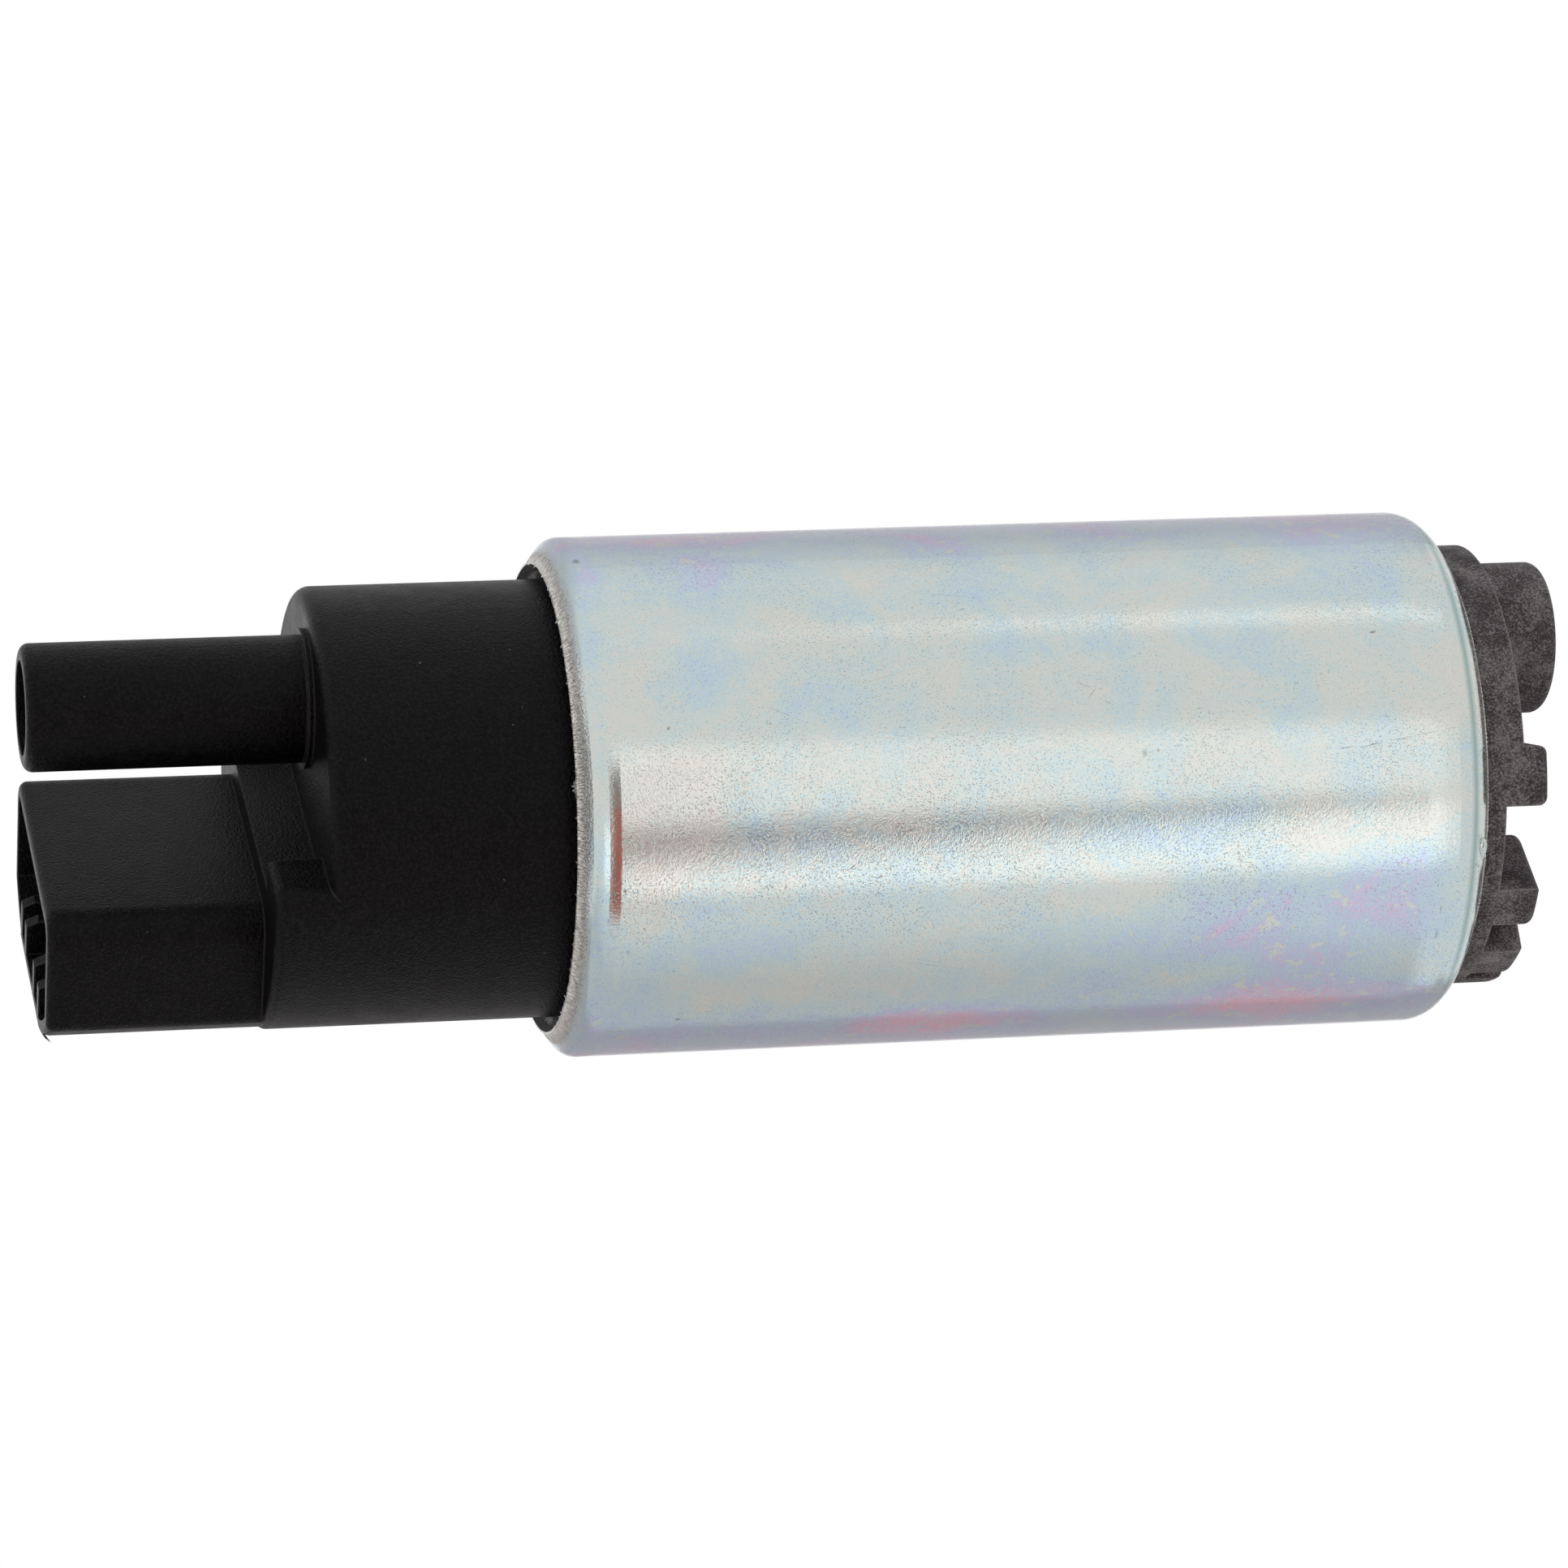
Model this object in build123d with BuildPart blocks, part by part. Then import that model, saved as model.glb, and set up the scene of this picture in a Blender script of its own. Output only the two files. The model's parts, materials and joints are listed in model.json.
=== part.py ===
from build123d import *
import math
import os

# In-tank fuel pump, in millimetres. The Z axis is the pump's axis, + towards the outlet,
# with the origin on the axis at the middle of the motor case. The outlet tube and the inlet
# boss lie on the +X side, and the electrical socket on the -X side.

# Motor case
case_r = 19.0            # outer radius of the steel tube
case_wall = 1.6
outlet_edge_z = 31.5     # where the straight wall starts to turn in, outlet end
inlet_edge_z = -30.95    # the same, inlet end
outlet_turn_r = 1.35     # bending radius at the outlet end
outlet_turn_deg = 54.0   # how far the wall is turned in there
inlet_turn_r = 2.7
crimp_land = 1.2         # flat edge of the wall that is crimped over the inlet cover
fit_gap = 0.05           # radial clearance of parts that seat in each other
outlet_lip_gap = 0.21    # between the outlet cover and the lip turned in over it
inlet_lip_gap = 0.35     # between the inlet cover and the crimp
root = 1.0               # how far a feature starts inside the body that it grows from

# Axial stack of the motor and pump
magnet_half = 16.0       # magnets run from -magnet_half to +magnet_half
magnet_wall = 5.2
magnet_span_deg = 128.0
clip_sheet = 0.6
clip_gap_deg = 0.3       # between a clip's legs and the magnets' ends
air_gap = 0.7
joint_z = -27.0          # face between the pump casing and the inlet cover
impeller_thick = 3.8
impeller_gap = 0.05      # running clearance on each face of the impeller
casing_roof = 4.6        # casing thickness above the impeller
holder_floor_z = 21.5    # underside of the brush holder's plate
holder_plate = 3.0
rim_wall = 1.3           # thin rims of the holder and the casing, against the case

# Outlet cover
cover_shoulder = 1.4     # width of the step that the case's lip holds
cover_top_z = 50.9
cover_round = 1.1
cover_wall = 1.9
chamber_roof_z = 48.4
flange_top_z = 31.0
seal_low_z = 27.4
seal_high = 1.8
seal_wide = 1.3
seal_chamfer = 0.3
platform_z = 54.8        # raised base of the socket
platform_x = -0.3
ledge_x = 2.1            # the platform's two ends reach this far towards the tube
ledge_y = 10.85
ledge_round = 1.3        # upright corners of those ends
ramp_draft = 0.45        # lean of the face between the platform's edge and the flat top
platform_round = 0.7
socket_top_z = 70.35
socket_x_tube = -2.5     # outside of the socket wall that faces the tube
socket_set_in = 1.4      # from the cover's side to the socket's rim wall
socket_half_y = 11.0
socket_wall = 1.1
socket_floor_z = 55.6
socket_corner_in = 0.2   # its corners follow the cover's round, this far in
socket_corner_r = 2.2    # its two corners on the tube's side
socket_rim_round = 0.6
key_rib = 2.75           # how far a key rib stands in from the socket's rim wall
key_rib_wide = 1.0
key_rib_lead_x = 0.4     # sloped tip that leads the plug in
key_rib_lead_z = 0.9
key_rib_ys = (-5.1, -2.0, 3.55, 6.3)
tube_set_in = 2.325      # from the cover's side to the tube
tube_r = 4.625
tube_bore_r = 3.45
tube_tip_z = 71.4
tube_tip_round = 0.7
tube_collar = 0.45

# Check valve in the outlet tube
valve_seat_z = 52.6
valve_port_r = 2.1
valve_head_r = 2.75
valve_head = 1.3
valve_round = 0.52
valve_lift = 2.2
valve_coil_r = 1.4
valve_wire = 0.4
valve_turns = 5
stem_r = 0.9
stem_chamfer = 0.27
stem_gap = 0.06
guide_z = 60.0
guide_height = 3.6
guide_hub_r = 1.7
guide_spoke = 0.8
guide_spokes = 3

# Relief valve in the cover's roof
relief_deg = 61.56       # its place round the axis, from +X
relief_set_in = 0.18     # from the chamber's wall to its boss
relief_bore_r = 2.0
relief_wall = 1.0
relief_roof_drop = 0.3   # the spring's roof below the chamber's
relief_seat_height = 2.4
relief_port_r = 1.0
relief_ball_r = 1.6
relief_lift = 1.4
relief_room = 2.0        # left for the spring when the ball is fully lifted
relief_coil_r = 1.4
relief_wire = 0.35
relief_turns = 4
ball_gap = 0.02          # between ball and seat
relief_vent_r = 0.9

# Terminals, chokes and brushes
blade_y = 4.0
blade_wide = 2.8
blade_thick = 0.8
blade_tip_z = 66.0
blade_point = 0.24       # chamfer at a blade's tip
terminal_foot_z = 41.0
terminal_foot_wide = 2.4
choke_set_in = 0.37      # from the chamber's wall to the chokes
choke_core_r = 1.4
choke_coil_r = 2.4
choke_low_z = 27.2
choke_high_z = 39.0
choke_bare = 1.0         # core left bare at each end of the winding
choke_chamfer = 0.25
lead_r = 0.35
brush_wide = 4.6
brush_deep = 4.0
brush_tall = 7.0
brush_chamfer = 0.35
brush_travel = 3.0
brush_room = 7.0         # left for the spring when the brush is fully lifted
brush_coil_r = 1.45
brush_turns = 6
brush_gap = 0.12         # side clearance in the holder's pocket
pocket_wall = 1.0
pocket_top_z = 34.0
post_r = 2.1
brush_wire = 0.5
wire_sides = 6           # the hidden springs are drawn in six-sided wire
tail_drop = 0.9          # a pigtail leaves its brush this far below the top
tail_rise = 4.2
tail_bend = 1.2
tail_slot = 1.4
fuel_slots = 4
fuel_slot_long = 5.0
fuel_slot_wide = 2.4

# Shaft, armature and commutator
shaft_r = 2.0
shaft_gap = 0.03         # running clearance in the bushes
shaft_low_z = -28.4
shaft_high_z = 28.4
shaft_chamfer = 0.3
flat_depth = 0.5         # drive flat under the impeller
bush_r = 3.6
bush_long = 5.6
core_low_z = -14.0
core_high_z = 10.5
core_slots = 8
tooth_wide = 2.4
slot_floor_r = 4.6
slot_mouth = 1.2
tooth_tip = 1.3
end_turn = 3.4           # height of the winding heads
end_turn_round = 1.7
insulator = 0.6
commutator_step = 2.1    # the commutator's edge, in from the core's
commutator_z = 20.0      # running face of the commutator
commutator_thick = 2.2
commutator_base_high = 3.2
commutator_hub_high = 1.32
segment_in_r = 5.0
segment_gap = 0.5

# Impeller and flow channel
casing_side = 2.67       # wall of the casing beside the impeller
impeller_rim = 0.6
vane_depth = 2.2         # radial length of a vane pocket
vane_cut = 1.55          # axial depth of a vane pocket, from each face
vane_count = 37
vane_share = 0.58        # share of the pitch that is open
port_r = 1.5
port_back_deg = 8.0      # the delivery port lies this far before the channel's end
balance_hole_r = 1.0
balance_holes = 4
thrust_r = 2.8
thrust_thick = 1.2
channel_turn_deg = 318.0
pocket_gap = 0.08        # radial clearance around the impeller

# Inlet cover
inlet_shoulder = 1.0     # width of the step that the crimp holds
inlet_flange_z = -31.0
inlet_base_z = -35.2
inlet_plateau_z = -36.6
inlet_plateau_deg = 55.5  # half angle of the raised part around the boss
boss_set_in = 0.1        # from the cover's rim to the boss
boss_r = 5.6
boss_bore_r = 3.9
boss_tip_z = -41.2
boss_round = 0.9
boss_bore_end_z = -30.2
inlet_port_r = 2.4
lug_z = -38.5
lug_reach = 6.2          # how far the lugs reach in from the rim
lug_round = 0.9
lugs = ((63.2, 4.4), (100.2, 3.4), (124.4, 3.7))  # angle from +X, width
wide_lug_deg = (138.5, 162.0)

# Sizes that follow from these
case_bore_r = case_r - case_wall
seat_r = case_bore_r - fit_gap
cover_r = case_bore_r - cover_shoulder
chamber_r = cover_r - cover_wall
seal_inner_r = case_bore_r - seal_wide
ramp_foot_x = platform_x + ramp_draft
socket_x_rim = socket_set_in - cover_r
socket_mid_x = (socket_x_tube + socket_x_rim) / 2
socket_long = socket_x_tube - socket_x_rim
socket_r = cover_r - socket_corner_in
rib_foot_x = socket_x_rim + socket_wall / 2
rib_end_x = socket_x_rim + socket_wall + key_rib
rib_low_z = socket_floor_z - socket_wall / 2
tube_x = cover_r - tube_r - tube_set_in
relief_boss_r = relief_bore_r + relief_wall
relief_mid_r = chamber_r - relief_boss_r - relief_set_in
relief_x = relief_mid_r * math.cos(math.radians(relief_deg))
relief_y = relief_mid_r * math.sin(math.radians(relief_deg))
blade_x = socket_mid_x
choke_y = math.sqrt((chamber_r - choke_coil_r - choke_set_in) ** 2 - blade_x ** 2)
inlet_r = case_bore_r - inlet_shoulder
inlet_lip_r = inlet_r + inlet_lip_gap
boss_x = inlet_r - boss_r - boss_set_in
lug_in_r = inlet_r - lug_reach
core_r = case_bore_r - magnet_wall - air_gap
commutator_r = core_r - commutator_step
brush_y = (segment_in_r + commutator_r) / 2
magnet_r = case_bore_r - magnet_wall
holder_top_z = holder_floor_z + holder_plate
pocket_r = seat_r - casing_side
impeller_r = pocket_r - pocket_gap
pocket_deep = impeller_thick + 2 * impeller_gap
pocket_roof_z = joint_z + pocket_deep
casing_top_z = pocket_roof_z + casing_roof
channel_out_r = impeller_r - impeller_rim
channel_in_r = channel_out_r - vane_depth
channel_mid_r = (channel_out_r + channel_in_r) / 2
brush_foot_z = commutator_z
brush_top_z = brush_foot_z + brush_tall
post_end_z = brush_top_z + brush_travel + brush_room
relief_roof_z = chamber_roof_z - relief_roof_drop
coil_on_ball = math.sqrt(relief_ball_r ** 2 - (relief_coil_r - relief_wire / 2) ** 2)
relief_spring_low = relief_roof_z - relief_room - relief_lift
ball_mid_z = relief_spring_low - coil_on_ball
seat_top_z = ball_mid_z - math.sqrt(relief_ball_r ** 2 - relief_port_r ** 2) - ball_gap
relief_foot_z = seat_top_z - relief_seat_height

os.makedirs("parts", exist_ok=True)


def save(item, name):
    """Label a finished piece and write it under its own name."""
    item.label = name
    export_step(item, f"parts/{name}.step")


def coil_spring(x, y, low, high, mid_r, wire, turns):
    """Compression spring on a vertical axis, its turns as chains of short arcs.

    The wire's centre line climbs steadily from low to high. Each quarter turn is two arcs
    that meet tangentially, found from the helix's points and directions.
    """
    steps = 4 * turns
    climb = (high - low - wire) / (2 * math.pi * turns)
    points = []
    tangents = []
    for step in range(steps + 1):
        angle = math.pi / 2 * step
        points.append(Vector(x + mid_r * math.cos(angle), y + mid_r * math.sin(angle),
                             low + wire / 2 + climb * angle))
        tangents.append(Vector(-mid_r * math.sin(angle), mid_r * math.cos(angle), climb).normalized())
    with BuildPart() as spring:
        with BuildLine():
            for step in range(steps):
                chord = points[step + 1] - points[step]
                total = tangents[step] + tangents[step + 1]
                spread = 2 * (1 - tangents[step].dot(tangents[step + 1]))
                along = chord.dot(total)
                reach = (math.sqrt(along ** 2 + spread * chord.dot(chord)) - along) / spread
                first = points[step] + tangents[step] * reach
                second = points[step + 1] - tangents[step + 1] * reach
                joint = (first + second) * 0.5
                TangentArc(points[step], joint, tangent=tangents[step])
                TangentArc(joint, points[step + 1], tangent=second - first)
        with BuildSketch(Plane(origin=points[0], z_dir=tangents[0])):
            RegularPolygon(wire / 2, wire_sides)
        sweep()
    gap = (high - low - wire) / turns - wire
    print(f"spring at x {x}, y {y}: least gap between turns {gap:.2f} mm")
    return spring.part


def sector(middle_deg, half_deg):
    """Flat wedge about the axis, from middle_deg minus half_deg to middle_deg plus half_deg."""
    far = 3 * case_r
    corners = [(0, 0)]
    for share in (-1, 0, 1):
        angle = math.radians(middle_deg + share * half_deg)
        corners.append((far * math.cos(angle), far * math.sin(angle)))
    return Polygon(*corners, align=None, mode=Mode.PRIVATE)


# Motor case: a drawn steel tube, both ends turned in over the covers.
turn = math.radians(outlet_turn_deg)
lip_start = (case_r - outlet_turn_r * (1 - math.cos(turn)), outlet_edge_z + outlet_turn_r * math.sin(turn))
lip_inner_r = cover_r + outlet_lip_gap
outlet_lip = (lip_start[0] - case_wall * math.cos(turn) - lip_inner_r) / math.sin(turn)
lip_end = (lip_start[0] - outlet_lip * math.sin(turn), lip_start[1] + outlet_lip * math.cos(turn))
lip_inner = (lip_end[0] - case_wall * math.cos(turn), lip_end[1] - case_wall * math.sin(turn))
inlet_drop = math.sqrt(inlet_turn_r ** 2 - (inlet_turn_r - case_r + inlet_lip_r) ** 2)
inlet_lip_z = inlet_edge_z - inlet_drop
with BuildPart() as motor_case:
    with BuildSketch(Plane.XZ):
        with BuildLine():
            Line((case_r, inlet_edge_z), (case_r, outlet_edge_z))
            RadiusArc((case_r, outlet_edge_z), lip_start, -outlet_turn_r)
            Line(lip_start, lip_end)
            Line(lip_end, lip_inner)
            Line(lip_inner, (case_bore_r, flange_top_z))
            Line((case_bore_r, flange_top_z), (case_bore_r, inlet_flange_z))
            Line((case_bore_r, inlet_flange_z), (inlet_lip_r, inlet_lip_z + crimp_land))
            Line((inlet_lip_r, inlet_lip_z + crimp_land), (inlet_lip_r, inlet_lip_z))
            RadiusArc((inlet_lip_r, inlet_lip_z), (case_r, inlet_edge_z), -inlet_turn_r)
        make_face()
    revolve(axis=Axis.Z)
save(motor_case.part, "motor_case")

# Outlet cover: one moulding with the outlet tube and the socket on top, and inside it the
# posts that hold the brush springs and the boss of the relief valve.
flange_low_z = holder_top_z
tube_root_z = chamber_roof_z
lip_slope = (lip_inner[1] - flange_top_z) / (case_bore_r - lip_inner[0])
cover_shoulder_z = flange_top_z + (seat_r - cover_r) * lip_slope
with BuildPart() as outlet_cover:
    with BuildSketch(Plane.XZ):
        with BuildLine():
            Polyline((0, flange_low_z), (seat_r, flange_low_z), (seat_r, flange_top_z),
                     (cover_r, cover_shoulder_z), (cover_r, cover_top_z), (0, cover_top_z), close=True)
        make_face()
    revolve(axis=Axis.Z)
    fillet(outlet_cover.edges().group_by(Axis.Z)[-1], cover_round)
    # raised platform under the socket, with an end reaching forward on each side
    with BuildSketch(Plane.XY.offset(cover_top_z - cover_round)) as platform:
        Circle(cover_r)
        with Locations((ledge_x, 0)):
            Rectangle(2 * cover_r, 2 * cover_r, align=(Align.MIN, Align.CENTER), mode=Mode.SUBTRACT)
        with Locations((platform_x, 0)):
            Rectangle(2 * cover_r, 2 * ledge_y, align=(Align.MIN, Align.CENTER), mode=Mode.SUBTRACT)
        ledge_ends = platform.vertices().group_by(Axis.X)[-1].sort_by(Axis.Y)
        fillet([ledge_ends[0], ledge_ends[-1]], ledge_round)
    extrude(amount=platform_z - cover_top_z + cover_round)
    platform_top = outlet_cover.edges().group_by(Axis.Z)[-1]
    platform_ends = platform_top.filter_by(Axis.Y).group_by(Axis.X)[-1]
    fillet(platform_top.filter_by(GeomType.CIRCLE) + platform_ends, platform_round)
    # leaning face between the platform's edge and the flat top
    with BuildSketch(Plane.XZ):
        with BuildLine():
            Polyline((platform_x, platform_z), (ramp_foot_x, cover_top_z), (ramp_foot_x, cover_top_z - root),
                     (platform_x - root, cover_top_z - root), (platform_x - root, platform_z), close=True)
        make_face()
    extrude(amount=ledge_y, both=True)
    # socket walls
    with BuildSketch(Plane.XY.offset(platform_z - root)) as socket_outline:
        with Locations((socket_mid_x, 0)):
            Rectangle(socket_long, 2 * socket_half_y)
        Circle(socket_r, mode=Mode.INTERSECT)
        fillet(socket_outline.vertices().group_by(Axis.X)[-1], socket_corner_r)
        fillet(socket_outline.vertices().sort_by(Axis.X)[:4], socket_wall)
    extrude(amount=socket_top_z - platform_z + root)
    fillet(outlet_cover.edges().group_by(Axis.Z)[-1], socket_rim_round)
    # outlet tube
    with BuildSketch(Plane.XY.offset(cover_top_z - root)):
        with Locations((tube_x, 0)):
            Circle(tube_r)
    extrude(amount=tube_tip_z - cover_top_z + root)
    fillet(outlet_cover.edges().group_by(Axis.Z)[-1], tube_tip_round)
    with BuildSketch(Plane.XY.offset(cover_top_z - root)):
        with Locations((tube_x, 0)):
            Circle(tube_r + tube_collar)
    extrude(amount=root + tube_collar)
    # hollow underneath, then the posts and the relief boss hanging from its roof
    with BuildSketch(Plane.XY.offset(flange_low_z)):
        Circle(chamber_r)
    extrude(amount=chamber_roof_z - flange_low_z, mode=Mode.SUBTRACT)
    with BuildSketch(Plane.XY.offset(post_end_z)):
        with Locations((0, brush_y), (0, -brush_y)):
            Circle(post_r)
    extrude(amount=chamber_roof_z + root - post_end_z)
    with BuildSketch(Plane.XY.offset(relief_foot_z)):
        with Locations((relief_x, relief_y)):
            Circle(relief_boss_r)
    extrude(amount=chamber_roof_z + root - relief_foot_z)
    with BuildSketch(Plane.XY.offset(relief_foot_z)):
        with Locations((relief_x, relief_y)):
            Circle(relief_bore_r)
    extrude(amount=relief_roof_z - relief_foot_z, mode=Mode.SUBTRACT)
    with BuildSketch(Plane.XY.offset(relief_roof_z)):
        with Locations((relief_x, relief_y)):
            Circle(relief_vent_r)
    extrude(amount=cover_top_z - relief_roof_z, mode=Mode.SUBTRACT)
    # bore of the tube, with the valve's port below its seat
    with BuildSketch(Plane.XY.offset(valve_seat_z)):
        with Locations((tube_x, 0)):
            Circle(tube_bore_r)
    extrude(amount=tube_tip_z - valve_seat_z, mode=Mode.SUBTRACT)
    with BuildSketch(Plane.XY.offset(tube_root_z)):
        with Locations((tube_x, 0)):
            Circle(valve_port_r)
    extrude(amount=valve_seat_z - tube_root_z, mode=Mode.SUBTRACT)
    # inside of the socket, its key ribs and the slots for the two blades
    with BuildSketch(Plane.XY.offset(socket_floor_z)) as socket_inside:
        with Locations((socket_mid_x, 0)):
            Rectangle(socket_long - 2 * socket_wall, 2 * (socket_half_y - socket_wall))
        Circle(socket_r - socket_wall, mode=Mode.INTERSECT)
        fillet(socket_inside.vertices().group_by(Axis.X)[-1], socket_corner_r - socket_wall)
    extrude(amount=socket_top_z - socket_floor_z, mode=Mode.SUBTRACT)
    for rib_y in key_rib_ys:
        with BuildSketch(Plane.XZ.offset(-rib_y)):
            with BuildLine():
                Polyline((rib_foot_x, rib_low_z), (rib_foot_x, socket_top_z),
                         (rib_end_x - key_rib_lead_x, socket_top_z),
                         (rib_end_x, socket_top_z - key_rib_lead_z), (rib_end_x, rib_low_z), close=True)
            make_face()
        extrude(amount=key_rib_wide / 2, both=True)
    with BuildSketch(Plane.XY.offset(chamber_roof_z)):
        with Locations((blade_x, blade_y), (blade_x, -blade_y)):
            Rectangle(blade_thick + 2 * fit_gap, blade_wide + 2 * fit_gap)
    extrude(amount=socket_floor_z - chamber_roof_z, mode=Mode.SUBTRACT)
    # seal groove round the flange
    with BuildSketch(Plane.XY.offset(seal_low_z)):
        Circle(case_r)
        Circle(seal_inner_r, mode=Mode.SUBTRACT)
    extrude(amount=seal_high, mode=Mode.SUBTRACT)
save(outlet_cover.part, "outlet_cover")

# Seal: a rubber ring between the cover's flange and the case.
with BuildPart() as cover_seal:
    with BuildSketch(Plane.XY.offset(seal_low_z + fit_gap)):
        Circle(seat_r)
        Circle(seal_inner_r + fit_gap, mode=Mode.SUBTRACT)
    extrude(amount=seal_high - 2 * fit_gap)
    chamfer(cover_seal.edges().filter_by(GeomType.CIRCLE), seal_chamfer)
save(cover_seal.part, "cover_seal")

# Terminals: two punched brass blades, each with a foot inside the chamber.
foot_out_y = choke_y + choke_coil_r
for name, side in (("terminal_positive", 1), ("terminal_negative", -1)):
    foot_mid_y = side * (foot_out_y + blade_y - blade_wide / 2) / 2
    foot_long = foot_out_y - blade_y + blade_wide / 2
    with BuildPart() as terminal:
        with BuildSketch(Plane.XY.offset(terminal_foot_z)):
            with Locations((blade_x, side * blade_y)):
                Rectangle(blade_thick, blade_wide)
        extrude(amount=blade_tip_z - terminal_foot_z)
        chamfer(terminal.edges().group_by(Axis.Z)[-1], blade_point)
        with BuildSketch(Plane.XY.offset(terminal_foot_z)):
            with Locations((blade_x, foot_mid_y)):
                Rectangle(terminal_foot_wide, foot_long)
        extrude(amount=blade_thick)
    save(terminal.part, name)

# Check valve: a spring-loaded plunger on the seat, guided by a spoked cage in the tube.
stem_top_z = guide_z + guide_height - valve_lift
with BuildPart() as check_plunger:
    with BuildSketch(Plane.XY.offset(valve_seat_z)):
        with Locations((tube_x, 0)):
            Circle(valve_head_r)
    extrude(amount=valve_head)
    fillet(check_plunger.edges().group_by(Axis.Z)[-1], valve_round)
    with BuildSketch(Plane.XY.offset(valve_seat_z + valve_head)):
        with Locations((tube_x, 0)):
            Circle(stem_r)
    extrude(amount=stem_top_z - valve_seat_z - valve_head)
    chamfer(check_plunger.edges().group_by(Axis.Z)[-1], stem_chamfer)
save(check_plunger.part, "check_plunger")

spoke_in_r = (stem_r + guide_hub_r) / 2
spoke_out_r = tube_bore_r - fit_gap - guide_spoke / 2
with BuildPart() as check_guide:
    with BuildSketch(Plane(origin=(tube_x, 0, guide_z))):
        Circle(tube_bore_r - fit_gap)
        Circle(tube_bore_r - fit_gap - guide_spoke, mode=Mode.SUBTRACT)
        with PolarLocations((spoke_in_r + spoke_out_r) / 2, guide_spokes):
            Rectangle(spoke_out_r - spoke_in_r, guide_spoke)
        Circle(guide_hub_r)
        Circle(stem_r + stem_gap, mode=Mode.SUBTRACT)
    extrude(amount=guide_height)
save(check_guide.part, "check_guide")

check_spring = coil_spring(tube_x, 0, valve_seat_z + valve_head, guide_z, valve_coil_r, valve_wire,
                           valve_turns)
save(check_spring, "check_spring")

# Relief valve: a ball on a pressed-in brass seat, held down by a spring under the roof.
with BuildPart() as relief_seat:
    with BuildSketch(Plane(origin=(relief_x, relief_y, relief_foot_z))):
        Circle(relief_bore_r - fit_gap)
        Circle(relief_port_r, mode=Mode.SUBTRACT)
    extrude(amount=relief_seat_height)
save(relief_seat.part, "relief_seat")

with BuildPart() as relief_ball:
    with Locations((relief_x, relief_y, ball_mid_z)):
        Sphere(relief_ball_r)
save(relief_ball.part, "relief_ball")

relief_spring = coil_spring(relief_x, relief_y, relief_spring_low, relief_roof_z, relief_coil_r, relief_wire,
                            relief_turns)
save(relief_spring, "relief_spring")

# Brush holder: a moulded plate with the upper bush in its middle and two brush pockets.
rim_r = seat_r - rim_wall
pocket_x = brush_wide / 2 + brush_gap
pocket_y = brush_deep / 2 + brush_gap
with BuildPart() as brush_holder:
    with BuildSketch(Plane.XY.offset(holder_floor_z)):
        Circle(seat_r)
    extrude(amount=holder_plate)
    with BuildSketch(Plane.XY.offset(magnet_half)):
        Circle(seat_r)
        Circle(rim_r, mode=Mode.SUBTRACT)
    extrude(amount=holder_floor_z - magnet_half)
    with BuildSketch(Plane.XY.offset(holder_floor_z)):
        Circle(bush_r + pocket_wall)
    extrude(amount=bush_long)
    with BuildSketch(Plane.XY.offset(holder_floor_z)):
        with Locations((0, brush_y), (0, -brush_y)):
            Rectangle(2 * (pocket_x + pocket_wall), 2 * (pocket_y + pocket_wall))
    extrude(amount=pocket_top_z - holder_floor_z)
    with BuildSketch(Plane.XY.offset(holder_floor_z)):
        with Locations((0, brush_y), (0, -brush_y)):
            Rectangle(2 * pocket_x, 2 * pocket_y)
        Circle(bush_r + fit_gap)
    extrude(amount=pocket_top_z - holder_floor_z, mode=Mode.SUBTRACT)
    # slots that let the pigtails travel, and passages for the fuel
    with BuildSketch(Plane.XY.offset(holder_top_z)):
        with Locations((-pocket_x - pocket_wall / 2, brush_y), (-pocket_x - pocket_wall / 2, -brush_y)):
            Rectangle(2 * pocket_wall, tail_slot)
    extrude(amount=pocket_top_z - holder_top_z, mode=Mode.SUBTRACT)
    with BuildSketch(Plane.XY.offset(holder_floor_z)):
        with PolarLocations((rim_r + bush_r) / 2, fuel_slots, start_angle=90 / fuel_slots):
            SlotOverall(fuel_slot_long, fuel_slot_wide, rotation=90)
    extrude(amount=holder_plate, mode=Mode.SUBTRACT)
save(brush_holder.part, "brush_holder")

with BuildPart() as upper_bush:
    with BuildSketch(Plane.XY.offset(holder_floor_z)):
        Circle(bush_r)
        Circle(shaft_r + shaft_gap, mode=Mode.SUBTRACT)
    extrude(amount=bush_long)
save(upper_bush.part, "upper_bush")

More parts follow.
